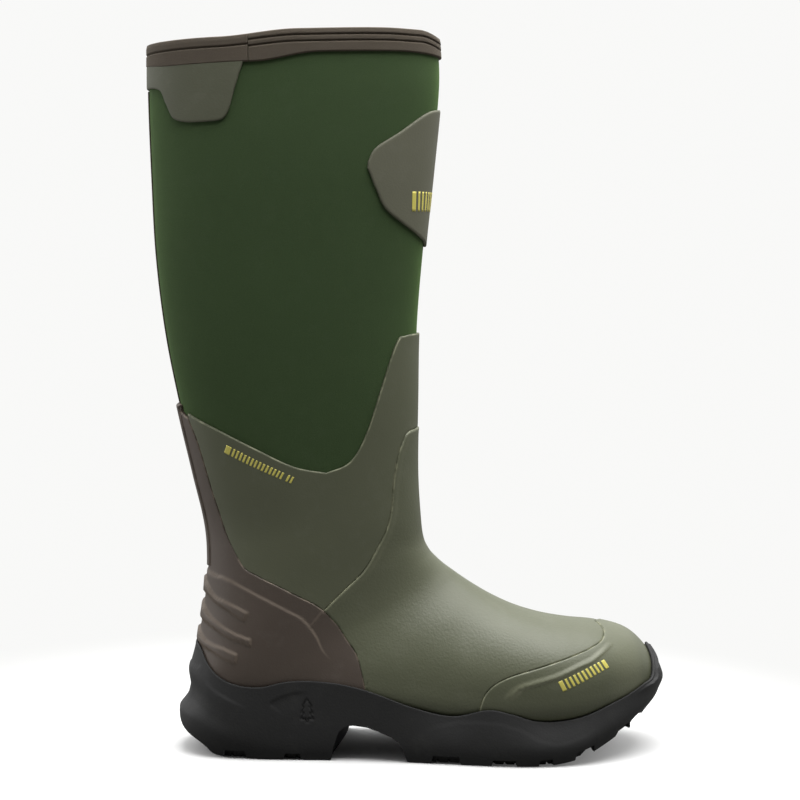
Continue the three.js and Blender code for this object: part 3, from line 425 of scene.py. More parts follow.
# Pale colours of rubbed edges, also used for the painted highlight along moulded relief.
WORN_AND_HIGHLIGHT_OLIVE = linear(170, 170, 140)
BOARD_COLOUR = linear(140, 112, 80)
FOAM_COLOUR = linear(146, 146, 138)
PALE_FIBRE = linear(160, 160, 150)
BROWN_FIBRE = linear(150, 140, 125)
NEOPRENE = knit("neoprene_knit", linear(59, 76, 47), 0.85, 620.0, 0.0001, 0.0005, 0.3, linear(130, 180, 80))
LINING = knit("fleece_lining", linear(70, 70, 64), 0.95, 260.0, 0.0006, 0.001, 0.5, PALE_FIBRE)
BINDING = knit("knitted_binding", linear(84, 76, 66), 0.85, 520.0, 0.00012, 0.0002, 0.2, BROWN_FIBRE)
FOOTBED = knit("footbed_cloth", linear(96, 96, 90), 0.9, 420.0, 0.0001, 0.0004, 0.3, PALE_FIBRE)
THREAD = knit("thread", linear(74, 66, 56), 0.8, 900.0, 0.00005, 0.0, 0.1, BROWN_FIBRE)
# In rubber(), crest sets how strong the painted highlight along moulded relief is.
ANKLE = rubber("olive_rubber_thin", linear(86, 89, 69), 0.62, WORN_AND_HIGHLIGHT_OLIVE, 0.5, 900.0, 0.00008, 0.0003)
VAMP = rubber("olive_rubber", linear(87, 90, 70), 0.52, WORN_AND_HIGHLIGHT_OLIVE, 0.5, 620.0, 0.00016, 0.0006)
TOE = rubber("olive_rubber_toe", linear(87, 90, 70), 0.5, linear(180, 180, 150), 0.45, 620.0, 0.00014, 0.0003,
             crest_highlight=0.2)
BADGE = rubber("badge_rubber", linear(94, 94, 78), 0.66, linear(130, 130, 110), 0.25, 800.0, 0.0001)
PATCH = rubber("patch_rubber", linear(80, 82, 65), 0.66, linear(120, 120, 100), 0.25, 800.0, 0.0001)
BROWN = rubber("brown_rubber", linear(78, 68, 60), 0.6, linear(165, 148, 128), 0.42, crest_highlight=0.16)
BLACK = rubber("outsole_rubber", linear(46, 46, 46), 0.66, linear(80, 78, 74), 0.5, 700.0, 0.0001, dust=0.02,
               shine=0.22)
PRINT = rubber("print_yellow", linear(205, 195, 96), 0.5, linear(176, 170, 70), 0.0)
BOARD = rubber("fibre_board", BOARD_COLOUR, 0.9, BOARD_COLOUR, 0.0, 300.0, 0.0001)
FOAM = rubber("midsole_foam", FOAM_COLOUR, 0.9, FOAM_COLOUR, 0.0, 1500.0, 0.0001)
STEEL = new_material("spring_steel", Base_Color=linear(190, 192, 195), Metallic=1.0, Roughness=0.35)[0]

# ---- Bootie, lining and footbed ---------------------------------------------------------------------

FOAM_MM = 4.5
LINING_OUT = -4.8
LINING_IN = -6.0
FOOTBED_OFF = -6.3
FOOTBED_MM = 6.0


def round_the_rim(pairs):
    """A smooth value round the rim from [u, value] pairs on the outer side; the inner side mirrors it."""
    at = np.array([p[0] for p in pairs])
    values = np.array([p[1] for p in pairs])

    def value(u):
        turn = np.asarray(u, float) % 1.0
        x = np.minimum(turn, 1 - turn)
        k = np.clip(np.searchsorted(at, x), 1, len(at) - 1)
        f = smooth(0, 1, (x - at[k - 1]) / (at[k] - at[k - 1]))
        return values[k - 1] + (values[k] - values[k - 1]) * f

    return value


rim_top = round_the_rim([[0, 0], [0.015, -0.03], [0.065, -0.135], [0.12, -0.15], [0.24, -0.14], [0.35, -0.03],
                         [0.5, 0]])
binding_foot = round_the_rim([[0, 0.4], [0.1, 0.32], [0.21, 0.32], [0.3, 0.49], [0.42, 0.5], [0.5, 0.42]])


def under_binding(u):
    """t of the neoprene's cut edge, which the binding covers."""
    return rim_top(u) + 1.4 * T_PER_MM


def layer(name, t_from, t_to, count, outside, inside, material, nodes, slot, columns=300):
    """A closed layer of the bootie between two offsets, from t_from to t_to, all round."""
    u = np.arange(columns)[:, None] / columns
    low = t_from(u) if callable(t_from) else t_from
    t = low + (t_to - low) * np.linspace(0, 1, count)[None, :] + 0 * u
    u = np.broadcast_to(u, t.shape)
    points, faces = shell(skin(u, t, outside), skin(u, t, inside), wrap=True)
    return add_mesh(name, points, faces, material, nodes)


BOOTIE_SEAM = 7.0
SEAM_GAP = 0.004
TOE_END = 21.99
layer("shaft", under_binding, BOOTIE_SEAM, 150, 0.0, -FOAM_MM, NEOPRENE, ["neoprene_shaft"], "neoprene")
layer("bootie", BOOTIE_SEAM + SEAM_GAP, TOE_END, 110, 0.0, -FOAM_MM, NEOPRENE, ["bootie_foot"],
      "neoprene", 160)
layer("shaft_lining", under_binding, BOOTIE_SEAM, 100, LINING_OUT, LINING_IN, LINING, ["lining_shaft"],
      "lining", 220)
layer("foot_lining", BOOTIE_SEAM + SEAM_GAP, TOE_END, 90, LINING_OUT, LINING_IN, LINING, ["lining_foot"],
      "lining", 160)


def footbed():
    """The removable footbed. Its underside follows the lining and its top is a dish: across each section it
    runs between the two points of the lining that are FOOTBED_MM above the section's lowest point, and sags
    towards its middle line."""
    rows = []
    for t in np.linspace(11.0, 21.35, 120):
        u = np.linspace(0.2, 0.8, 601)
        line = skin(u, np.full_like(u, t), FOOTBED_OFF)
        low = np.argmin(line[:, 2])
        top = line[low, 2] + FOOTBED_MM
        above = line[:, 2] > top
        left = np.max(np.where(above[:low])[0], initial=0)
        right = low + np.min(np.where(above[low:])[0], initial=600 - low)
        rows.append((t, u[left], u[right]))
    t, left, right = np.array(rows).T
    f = np.linspace(0, 1, 48)[None, :]
    u = left[:, None] + (right - left)[:, None] * f
    under = skin(u, np.broadcast_to(t[:, None], u.shape), FOOTBED_OFF)
    first, last = under[:, :1], under[:, -1:]
    top = first + (last - first) * f[..., None]
    across = 4 * f * (1 - f)
    top[..., 2] = np.maximum(top[..., 2] - 1.6 * across, under[..., 2] + 3.6 * across**0.35)
    points, faces = shell(under, top)
    piece = add_mesh("footbed_pad", points, faces, FOOTBED, ["footbed"])


footbed()

# ---- Rubber overlays --------------------------------------------------------------------------------


def respaced(points, count):
    """The same line of [u, t] with count points, evenly spaced."""
    return spaced(points, lengths_to(points * UT_MM), count)


def run(marks, count):
    """count + 1 points evenly spaced along the smooth curve through marks [u, t]."""
    marks = np.array(marks, float)
    if len(marks) == 2:
        dense = marks[0] + (marks[1] - marks[0]) * np.linspace(0, 1, 200)[:, None]
    else:
        dense = catmull(guided(marks), np.linspace(0, len(marks) - 1, 60 * len(marks)))
    return respaced(dense, count + 1)


def edge_points(runs, density):
    """Points along an edge given as runs [steps, marks]."""
    out = []
    for steps, marks in runs:
        points = run(marks, steps * density)
        out.append(points if not out else points[1:])
    return np.concatenate(out)


LINE_STEP = 0.35
BLOCK = 4096  # points handled at once


def both_sides(points, centre):
    """Both sides of an edge: centre is 0 for one that crosses the front and 0.5 for the back."""
    other = points[:0:-1].copy()
    other[:, 0] = 2 * centre - other[:, 0]
    return np.concatenate([other, points])


def nearest(points, line):
    """Distance from each point to a polyline of 3-D points, taken as points LINE_STEP apart."""
    length = lengths_to(line)
    target = spaced(line, length, max(int(length[-1] / LINE_STEP), 2)).astype(np.float32)
    flat = points.reshape(-1, 3).astype(np.float32)
    best = np.empty(len(flat), np.float32)
    squares = (target**2).sum(1)
    for start in range(0, len(flat), BLOCK):
        block = flat[start : start + BLOCK]
        d = (block**2).sum(1)[:, None] - 2 * block @ target.T + squares
        best[start : start + BLOCK] = d.min(1)
    return np.sqrt(np.maximum(best, 0)).reshape(points.shape[:-1])


def inside_outline(u, t, outline):
    """True where u, t lies in the outline, by counting crossings."""
    found = np.zeros(np.shape(u), bool)
    ends = np.roll(outline, -1, 0)
    for (u0, t0), (u1, t1) in zip(outline, ends):
        if t0 == t1:
            continue
        crosses = (t0 > t) != (t1 > t)
        found ^= crosses & (u < (u1 - u0) * (t - t0) / (t1 - t0) + u0)
    return found


SIDE_MM = 80.0  # about how long the sides of an overlay with sides are
EDGE_ROWS = np.array([0, 0.08, 0.2, 0.38, 0.6, 0.9, 1.3, 1.9, 2.6])


def border_spacing(lengths, count):
    """Shares from 0 to 1 across lines of the given lengths, crowded at both ends by EDGE_ROWS."""
    lengths = np.asarray(lengths, float)[:, None]
    squeeze = np.minimum(1, 0.45 * lengths / EDGE_ROWS[-1])
    low = EDGE_ROWS[None, :] * squeeze / np.maximum(lengths, 1e-6)
    middle = low[:, -1:] + (1 - 2 * low[:, -1:]) * np.linspace(0, 1, count + 2)[None, 1:-1]
    return np.concatenate([low, middle, 1 - low[:, ::-1]], 1)


def patch(edges, rows, density, crowd_ends=False):
    """The grid of u, t over an overlay and each point's distance in mm to its edge. An overlay without sides
    is ruled between its upper and lower edge. One with sides is a Coons patch: the sum of what is ruled
    between upper and lower and what is ruled between the sides, less the patch of the four corners."""
    upper = edge_points(edges["upper"], density)
    lower = edge_points(edges["lower"], density)
    if len(lower) != len(upper):
        lower = respaced(lower, len(upper))
    upper, lower = (both_sides(line, edges["centre"]) for line in (upper, lower))
    if crowd_ends:
        middle = skin(*((upper + lower) / 2).T)
        length = lengths_to(middle)[-1]
        share = border_spacing([length], len(upper))[0]
        even = np.linspace(0, 1, len(upper))
        upper, lower = (picked(line, even, share) for line in (upper, lower))
    lengths = np.linalg.norm(skin(*upper.T) - skin(*lower.T), axis=1)
    if "side" in edges:
        lengths = np.full(len(upper), SIDE_MM)
    share = border_spacing(lengths, rows)
    grid = upper[:, None] + (lower - upper)[:, None] * share[..., None]
    if "side" in edges:
        side = edge_points(edges["side"], density)
        side = picked(side, np.linspace(0, 1, len(side)), share[0])
        other = side * (-1, 1) + (2 * edges["centre"], 0)
        bend = side - (upper[-1] + (lower[-1] - upper[-1]) * share[0][:, None])
        other_bend = other - (upper[0] + (lower[0] - upper[0]) * share[0][:, None])
        across = np.linspace(0, 1, len(upper))[:, None, None]
        grid = grid + (1 - across) * other_bend[None] + across * bend[None]
    u, t = grid[..., 0], grid[..., 1]
    face = skin(u, t)
    border = np.concatenate([face[:, 0], face[-1, :], face[::-1, -1], face[::-1, 0][:1], face[0, ::-1]])
    return u, t, face, nearest(face, border)


def rounded(distance, radius):
    """Height, as a share of 1, of an edge rounded off over radius."""
    return np.sqrt(1 - (1 - np.clip(distance / radius, 0, 1)) ** 2)


def cell_size(face):
    """The shorter side of the grid's cells at each point, in mm."""
    return np.minimum(*(np.linalg.norm(np.gradient(face, axis=axis), axis=2) for axis in (0, 1)))


def overlay(name, edges, thickness, material, nodes, rows=40, density=10, radius=0.9, base=0.05,
            relief=None, crowd_ends=False, free=False):
    """A rubber skin on the neoprene: at each point its top is base plus its thickness, rounded off towards
    the edge, plus the relief moulded into it. A free edge is rounded right down; others keep a low wall."""
    u, t, face, distance = patch(edges, rows, density, crowd_ends)
    lip = 0.12 if free else 0.55 * thickness
    height = lip + (thickness - lip) * rounded(distance, radius)
    crest_highlight = np.zeros_like(height)
    if relief:
        moulded = relief(u, t, face, distance) * smooth(0, 1.5, distance)
        height = height + moulded
        # How steep the relief is, kept on each point to paint a highlight along its crests.
        slope = np.hypot(*np.gradient(moulded)) / np.maximum(cell_size(face), 0.02)
        crest_highlight = np.clip(slope / 0.6, 0, 1)
    outside = skin(u, t, base + height)
    inside = skin(u, t, base)
    points, faces = shell(outside, inside)
    values = {
        "edge": np.concatenate([distance.ravel(), distance.ravel() + 5]),
        "crest_highlight": np.concatenate([crest_highlight.ravel(), 0 * crest_highlight.ravel()]),
    }
    return add_mesh(name, points, faces, material, nodes, values)


# Edges and lines as [u, t] on the outer side; an edge also has its number of steps
YOKE_FRONT = (11, [[0, 4.1], [0.056, 4.12], [0.075, 4.2], [0.1, 4.68], [0.134, 5.4], [0.166, 5.8],
                   [0.209, 5.96]])
YOKE_BACK = (9, [[0.209, 5.96], [0.263, 5.86], [0.325, 5.6], [0.388, 5.34], [0.446, 5.13]])
VAMP_LINE = (11, [[0, 5.36], [0.05, 5.4], [0.066, 5.54], [0.078, 5.78], [0.09, 6.3], [0.095, 6.66],
                  [0.116, 7.52], [0.153, 8.8], [0.181, 9.38], [0.23, 10.18]])
HEEL_LINE = (9, [[0.23, 10.18], [0.25, 9.72], [0.281, 9.26], [0.316, 8.82], [0.353, 8.46], [0.381, 8.16],
                 [0.412, 7.34], [0.425, 6.56], [0.434, 5.6], [0.446, 5.2]])
COUNTER_FRONT = (7, [[0.23, 10.18], [0.2185, 10.62], [0.2105, 11.32], [0.218, 12.1], [0.2455, 12.88],
                     [0.2812, 13.46], [0.333, 14.04], [0.362, 14.2]])
TOE_LINE = (18, [[0, 18.94], [0.066, 19.12], [0.125, 19], [0.156, 18.6], [0.178, 17.94], [0.203, 17.04],
                 [0.228, 16.36], [0.259, 16.02], [0.303, 15.98], [0.36, 16.15]])
HEEL_FEATHER = (17, [[0.5, 11], [0.475, 11.2], [0.45, 11.6], [0.43, 12.1], [0.42, 12.7], [0.4, 13.3],
                     [0.37, 14.25]])
TOE_FEATHER = (18, [[0, 21.6], [0.18, 21.6], [0.36, 21.6]])


def reverse(line):
    """A run the other way round."""
    return (line[0], line[1][::-1])


def mirrored_distance(face, line):
    """Distance in mm to a line of [u, t] on the outer side or to its mirror image, whichever is nearer."""
    u, t = run(line, 400).T
    return np.minimum(nearest(face, skin(u, t)), nearest(face, skin(1 - u, t)))


def fold(u):
    """u on the outer side of the point's mirror image."""
    turn = u % 1.0
    return np.minimum(turn, 1 - turn)


def raised(u, t, face, outline, lines, width=1.1):
    """1 in the outline and 0 outside it, with a smooth step of this width in mm over each of the lines."""
    distance = np.minimum.reduce([mirrored_distance(face, line) for line in lines])
    signed = np.where(inside_outline(fold(u), t, outline), distance, -distance)
    return smooth(-width / 2, width / 2, signed)


STIFFENER_EDGE = [[0.5, 8.3], [0.447, 8.4], [0.406, 8.54], [0.3625, 8.9], [0.325, 9.3], [0.294, 9.7],
                  [0.266, 10.22], [0.25, 10.86], [0.249, 11.6], [0.266, 12.4], [0.3, 13.2], [0.345, 14]]
RIBS = [
    ([[0.5, 8.46], [0.4688, 8.66], [0.4375, 8.94], [0.4125, 9.08], [0.3844, 9.28], [0.3625, 9.48]],
     [[0.5, 8.86], [0.4656, 8.86], [0.4313, 9.1], [0.4, 9.34], [0.3688, 9.66]]),
    ([[0.5, 9.06], [0.475, 9.2], [0.4313, 9.52], [0.4, 9.8], [0.3719, 10.08], [0.3531, 10.28]],
     [[0.5, 9.44], [0.46, 9.52], [0.425, 9.74], [0.3937, 10.04], [0.3656, 10.3], [0.3531, 10.46]]),
    ([[0.5, 9.66], [0.475, 9.8], [0.4344, 10.08], [0.4, 10.32], [0.375, 10.6]],
     [[0.5, 9.98], [0.47, 10.04], [0.4313, 10.26], [0.4031, 10.54], [0.378, 10.84]]),
]


def counter_relief(u, t, face, distance):
    """The step over the stiffener's edge, the three ribs that wrap round the heel, and the short seam."""
    region = np.concatenate([run(STIFFENER_EDGE, 200), [[0.5, 14]]])
    height = 0.8 * raised(u, t, face, region, [STIFFENER_EDGE]) * (1 - smooth(11.2, 12.8, t))
    for upper, lower in RIBS:
        end = [upper[-1], lower[-1]]
        bar = np.concatenate([run(upper, 80), run(lower, 80)[::-1]])
        rib = 0.9 + 0.8 * smooth(0.42, 0.49, fold(u))
        height = height + rib * raised(u, t, face, bar, [upper, lower, end])
    seam = mirrored_distance(face, [[0.232, 10.26], [0.25, 10.62]])
    return height + 0.35 * (1 - smooth(0.2, 1.2, seam))


TOE_RIDGE = [[0.153, 19.22], [0.175, 18.92], [0.194, 18.56], [0.206, 18.12], [0.222, 17.6], [0.234, 17.12],
             [0.247, 16.72], [0.259, 16.56], [0.272, 16.48]]


def toe_relief(u, t, face, distance):
    """The ridge along the toe cap, sharper on its lower side, which fades out at both ends."""
    line = mirrored_distance(face, TOE_RIDGE)
    outline = [[0.13, 19.7]] + TOE_RIDGE + [[0.36, 16.4], [0.36, 20.6], [0.13, 20.6]]
    below = inside_outline(fold(u), t, outline)
    fade = smooth(15.9, 16.9, t) * (1 - smooth(18.7, 19.6, t))
    ridge = np.where(below, 1 - smooth(0, 1.1, line), 1 - smooth(0, 3.4, line))
    return 0.8 * fade * ridge + 1.2 * smooth(19.0, 20.4, t)


def vamp_relief(u, t, face, distance):
    """A slight roll along the line where the vamp laps over the ankle."""
    return 0.25 * (1 - smooth(1.0, 4.5, mirrored_distance(face, VAMP_LINE[1])))


ANKLE_EDGES = {"centre": 0, "upper": [YOKE_FRONT, YOKE_BACK], "lower": [VAMP_LINE, HEEL_LINE]}
VAMP_EDGES = {
    "centre": 0,
    "upper": [VAMP_LINE],
    "side": [COUNTER_FRONT, (4, [[0.362, 14.2], [0.36, 16.15]])],
    "lower": [TOE_LINE],
}
TOE_EDGES = {"centre": 0, "upper": [TOE_LINE], "lower": [TOE_FEATHER]}
HEEL_EDGES = {
    "centre": 0.5,
    "upper": [(1, [[0.5, 5], [0.446, 5.2]]), reverse(HEEL_LINE), COUNTER_FRONT],
    "lower": [HEEL_FEATHER],
}
SPINE_EDGES = {
    "centre": 0.5,
    "upper": [(2, [[0.5, 5], [0.468, 5.02]])],
    "lower": [(2, [[0.5, 8.25], [0.466, 8.2]])],
}
PATCH_EDGES = {
    "centre": 0.5,
    "upper": [(8, [[0.5, 0.4], [0.42, 0.44], [0.314, 0.46]])],
    "lower": [(3, [[0.5, 0.84], [0.447, 0.89], [0.431, 1.12]]),
              (5, [[0.431, 1.12], [0.419, 1.32], [0.4, 1.385], [0.372, 1.395], [0.346, 1.38], [0.336, 1.28],
                   [0.331, 1.12]])],
}
BADGE_EDGES = {
    "centre": 0,
    "upper": [(5, [[0, 1.28], [0.047, 1.34], [0.094, 1.58], [0.128, 1.76], [0.138, 1.92]])],
    "lower": [(5, [[0, 2.96], [0.053, 2.78], [0.103, 2.52], [0.122, 2.28], [0.138, 2]])],
}
TAPE_EDGES = {
    "centre": 0.5,
    "upper": [(1, [[0.5, 0.88], [0.484, 0.88]])],
    "lower": [(1, [[0.5, 5.0], [0.484, 5.0]])],
}

overlay("ankle_rubber", ANKLE_EDGES, 1.8, ANKLE, ["ankle_shell"], rows=60, density=12)
overlay("vamp_rubber", VAMP_EDGES, 2.4, VAMP, ["vamp_shell"], rows=90, density=14,
        relief=vamp_relief)
overlay("toe_rubber", TOE_EDGES, 3.1, TOE, ["toe_cap"], rows=78, density=14, radius=1.1,
        relief=toe_relief)
overlay("heel_rubber", HEEL_EDGES, 2.1, BROWN, ["heel_counter", "heel_stiffener"],
        rows=100, density=12, relief=counter_relief)
overlay("spine_strip", SPINE_EDGES, 3.1, BROWN, ["heel_spine"], rows=80, density=8,
        radius=1.2, crowd_ends=True, free=True)
overlay("leg_tape", TAPE_EDGES, 0.8, BINDING, ["back_seam_tape"], rows=120, density=8,
        radius=0.5, crowd_ends=True, free=True)
overlay("rim_patch", PATCH_EDGES, 1.5, PATCH, ["pull_patch"], rows=24, density=14,
        radius=1.1, crowd_ends=True)
overlay("shin_shield", BADGE_EDGES, 1.9, BADGE, ["shin_badge"], rows=40, density=24,
        radius=1.4, crowd_ends=True)

# ---- Binding ----------------------------------------------------------------------------------------

BINDING_MM = 1.4
BINDING_JOINT = 8 / 26
SEAM_U = 0.2 / UT_MM[0]
BINDING_INSIDE = LINING_IN - BINDING_MM
BINDING_DEPTH = 12
FRONT_GROOVES = (3.2, 7.0)
BACK_GROOVE = 5.6


def binding(name, u_from, u_to, grooves, node):
    """Knitted tape folded over the rim. Its face runs from the outer foot up over the top and down inside. It
    swells between the stitched grooves, which lie at these distances in mm below the rim."""
    columns = int((u_to - u_from) * 600)
    u = np.linspace(u_from + SEAM_U, u_to - SEAM_U, columns)[:, None]
    top = rim_top(u)
    foot = binding_foot(u)
    outer_t = top + (foot - top) * np.linspace(1, 0.02, 60)
    depth = (outer_t - top) / T_PER_MM
    pillow = 1.0 - 0.25 * np.exp(-((depth / 1.2) ** 2))
    for groove in grooves:
        pillow = pillow - 0.9 * np.exp(-(((depth - groove) / 0.5) ** 2))
    foot_round = rounded((foot - outer_t) / T_PER_MM, 0.9)
    outer_off = 0.1 + BINDING_MM * np.clip(0.3 + 0.9 * pillow, 0.15, 2) * (0.12 + 0.88 * foot_round)
    angle = np.linspace(0, math.pi, 15)[None, 1:-1]
    middle = (outer_off[:, -1:] + BINDING_INSIDE) / 2
    half = (outer_off[:, -1:] - BINDING_INSIDE) / 2
    over_off = middle + half * np.cos(angle)
    over_t = top - BINDING_MM * 0.55 * np.sin(angle) * T_PER_MM
    inner_t = top + np.linspace(0.02, 1, 40)[None, :] * BINDING_DEPTH * T_PER_MM
    inner_off = np.broadcast_to(BINDING_INSIDE, inner_t.shape)
    t = np.concatenate([outer_t, over_t, inner_t], 1)
    off = np.concatenate([outer_off, over_off, inner_off], 1)
    uu = np.broadcast_to(u, t.shape)
    face = skin(uu, t, off)
    core_off = np.clip(off, LINING_IN - 0.1, 0.05)
    core = skin(uu, np.maximum(t, top + 1.3 * T_PER_MM), core_off)
    points, faces = shell(face[:, ::-1], core[:, ::-1])
    return add_mesh(name, points, faces, BINDING, [node])


binding("front_binding", -BINDING_JOINT, BINDING_JOINT, FRONT_GROOVES, "binding_front")
binding("back_binding", BINDING_JOINT, 1 - BINDING_JOINT, [BACK_GROOVE], "binding_back")
STITCH_MM = 3.0
STITCH_OFF = 0.85
STITCH_END = 0.004


def stitches(name, u_from, u_to, depth, node):
    """A row of stitches along a groove of the binding: short capsules, each lying along the rim with its ends
    sunk in the tape."""
    fine = np.linspace(u_from + STITCH_END, u_to - STITCH_END, 2000)
    line = skin(fine, rim_top(fine) + depth * T_PER_MM, STITCH_OFF)
    run_mm = lengths_to(line)
    starts = np.arange(STITCH_MM, run_mm[-1] - STITCH_MM, STITCH_MM)
    around, along = 8, 9
    share = np.linspace(0, 1, along)
    at = starts[:, None] + share[None, :] * STITCH_MM * 0.72
    u = np.interp(at, run_mm, fine)
    arch = 0.32 * np.sin(share * math.pi) - 0.16
    radius = 0.26 * np.sqrt(np.sin(np.clip(share, 0.02, 0.98) * math.pi))
    angle = np.arange(around) * 2 * math.pi / around
    up = radius[None, :, None] * np.sin(angle)
    out = radius[None, :, None] * np.cos(angle) + arch[None, :, None]
    uu = np.broadcast_to(u[..., None], (len(starts), along, around))
    t = rim_top(uu) + (depth + np.broadcast_to(up, uu.shape)) * T_PER_MM
    points = skin(uu, t, STITCH_OFF + np.broadcast_to(out, uu.shape)).reshape(-1, 3)
    i = np.arange(along - 1)[:, None]
    j = np.arange(around)[None, :]
    n = (j + 1) % around
    one = np.stack([i * around + j, (i + 1) * around + j, (i + 1) * around + n, i * around + n], -1)
    ends = [[0, 1, 2, 7], [7, 2, 3, 6], [6, 3, 4, 5]]
    caps = np.array(ends + [[(along - 1) * around + k for k in reversed(end)] for end in ends])
    one = np.concatenate([one.reshape(-1, 4), caps])
    faces = (one[None] + (np.arange(len(starts)) * along * around)[:, None, None]).reshape(-1, 4)
    return add_mesh(name, points, faces, THREAD, [node])


for place, groove in zip(("upper", "lower"), FRONT_GROOVES):
    stitches(f"front_stitches_{place}", -BINDING_JOINT, BINDING_JOINT, groove, "binding_front")
stitches("back_stitches", BINDING_JOINT, 1 - BINDING_JOINT, BACK_GROOVE, "binding_back")

# ---- Outsole ----------------------------------------------------------------------------------------

# u, t of the top edge; outline x, outer y, inner y; height where widest; inset of the tread's edge; floor
STATIONS = np.array([
    [0.5, 10.02, -154, 0, 0, 19, 26, 0],
    [0.459, 10.16, -151.5, -17, 17, 18.5, 22, 0],
    [0.422, 10.76, -143, -31, 30, 18, 14, 0],
    [0.391, 11.5, -126, -40.5, 40, 16, 6.5, 0],
    [0.366, 12.1, -103, -43.5, 43, 14, 3, 0],
    [0.341, 12.48, -80, -44.5, 43, 13, 2, 0],
    [0.331, 13.28, -57, -45.5, 42.5, 13, 2, 0],
    [0.331, 14, -34, -47.5, 42.5, 13, 2, 0],
    [0.336, 14.9, -5, -51.5, 44.5, 12, 2, 0],
    [0.331, 15.56, 19, -56, 47, 12, 2, 0],
    [0.303, 16.1, 41, -60, 50, 12, 2, 0],
    [0.303, 16.58, 57, -62, 51.5, 12, 2, 0],
    [0.314, 17.2, 76, -61.5, 52.5, 12, 2, 0],
    [0.312, 18.1, 98, -57.5, 51, 14, 2.5, 3.5],
    [0.3, 18.94, 117, -49, 47, 21, 4, 11],
    [0.291, 19.64, 131, -38.5, 41, 27, 5, 17.5],
    [0.278, 20.24, 141.5, -27, 34, 31, 7, 23],
    [0.256, 20.84, 149, -15, 26.5, 35, 9, 22],
    [0.16, 21.1, 153, -4, 17, 38, 11, 19.5],
    [0, 20.95, 154.5, 7, 7, 39, 12, 19.5],
])
SOLE_EDGE_OFF = 4.7
TOE_EDGE_MORE = 1.3
HALF = len(STATIONS) - 1
# The columns of the two sides' y in STATIONS
OUTER, INNER = 3, 4


def edge_off(t):
    """How far the sole's top edge stands off the neoprene: further over the thick end of the toe cap."""
    return SOLE_EDGE_OFF + TOE_EDGE_MORE * smooth(19.0, 20.4, t)


def held(rows):
    """rows with the first and the last repeated, so that a curve through them ends flat."""
    return np.vstack([rows[:1], rows, rows[-1:]])


def stations(count):
    """The outsole's stations at count places evenly spaced along the outer outline."""
    fine = np.linspace(0, HALF, 6000)
    length = lengths_to(catmull(held(STATIONS), fine)[:, [2, OUTER]])
    s = np.interp(np.linspace(0, length[-1], count), length, fine)
    return s, catmull(held(STATIONS), s)


def outline(s, side, inset):
    """Plan outline at s on a side, OUTER or INNER, drawn in by inset, and its outward direction."""
    steps = (s, np.maximum(s - 0.1, 0), np.minimum(s + 0.1, HALF))
    places = [catmull(held(STATIONS), step)[:, [2, side]] for step in steps]
    along = places[2] - places[1]
    turn = 1 if side == OUTER else -1
    along[0] = (0, -turn)
    along[-1] = (0, turn)
    out = np.stack([along[:, 1], -along[:, 0]], -1)
    out *= turn / np.linalg.norm(out, axis=1, keepdims=True)
    return places[0] - out * np.asarray(inset)[:, None], out


ARCH = [[-56, 0], [-54.5, 8], [-51, 18], [-46.5, 21.6], [-42, 22.2], [-34, 21.6], [-26, 18.8], [-18.5, 15.6],
        [-13.5, 12.4], [-10.5, 6], [-8.5, 0]]
# Highest the tread may stand inside the sole, by x
UNDER_FOOT = [[-52.5, 21.4], [-26, 18.4], [-16, 16.4], [-6, 12.1], [2, 9.5], [98, 9.5], [108, 12],
              [112, 13.2], [122, 17.7], [132, 22], [150, 30]]
# Notches of the tread's outer edge: x from, x to, height, and how far in they reach
NOTCHES = [[-121, -108, 4.6, 4], [-84.5, -74.5, 3.8, 4], [5.5, 22, 4.8, 4.5], [41, 55.5, 3.6, 4.5],
           [69.5, 78, 4.0, 5], [93, 105.5, 4.8, 8], [122.5, 131.8, 4.2, 10]]
# Grooves between the inner lugs, whose middles lie at these x
INNER_GROOVES = [-98, -70, 0, 31, 62, 86, 112]
GROOVE_MM = 4.5
SIPE_STEP = 6.5


def band(value, low, high, soft):
    """1 between low and high and 0 elsewhere, with ramps of soft to either side of both."""
    return smooth(low - soft, low + soft, value) * (1 - smooth(high - soft, high + soft, value))


def tread(x, y, floor, edge):
    """Height of the tread at x, y: the floor, the arch and the grooves between the lugs. edge is the distance
    in from the outline."""
    arch = np.interp(x - 9.0 * smooth(-46, 43, y), *np.transpose(ARCH), 0, 0)
    ceiling = np.interp(x, *np.transpose(UNDER_FOOT)) + 5 * (1 - smooth(2, 8, edge))
    slanted = x - 0.2 * (np.abs(y) - 45)
    height = floor
    for low, high, depth, reach in NOTCHES:
        notch = band(slanted, low, high, 0.4) * (1 - smooth(reach - 0.4, reach + 0.4, edge))
        height = np.maximum(height, floor + depth * notch)
    chevron = x + 0.5 * np.abs(y + 4)
    for middle in INNER_GROOVES:
        groove = (1 - smooth(2.6, 3.4, np.abs(chevron - middle - 12))) * smooth(8.0, 8.8, edge)
        height = np.maximum(height, floor + GROOVE_MM * groove)
    rail = band(edge, 12.7, 15.3, 0.3) * band(x, -129.5, 99.5, 0.5)
    height = np.maximum(height, floor + 3.5 * rail)
    spine = band(y, -7.1, -0.9, 0.4) * band(x, 20.5, 100.5, 0.5)
    height = np.maximum(height, floor + GROOVE_MM * spine)
    ripple = 0.5 + 0.5 * np.cos((x - 0.35 * np.abs(y)) * 2 * math.pi / SIPE_STEP)
    sipes = band(edge, 3.3, 8.3, 0.3) * smooth(0.82, 0.95, ripple)
    height = np.where(height < floor + 0.3, floor + 1.6 * sipes, height)
    return np.minimum(np.maximum(height, arch), np.maximum(ceiling, floor))


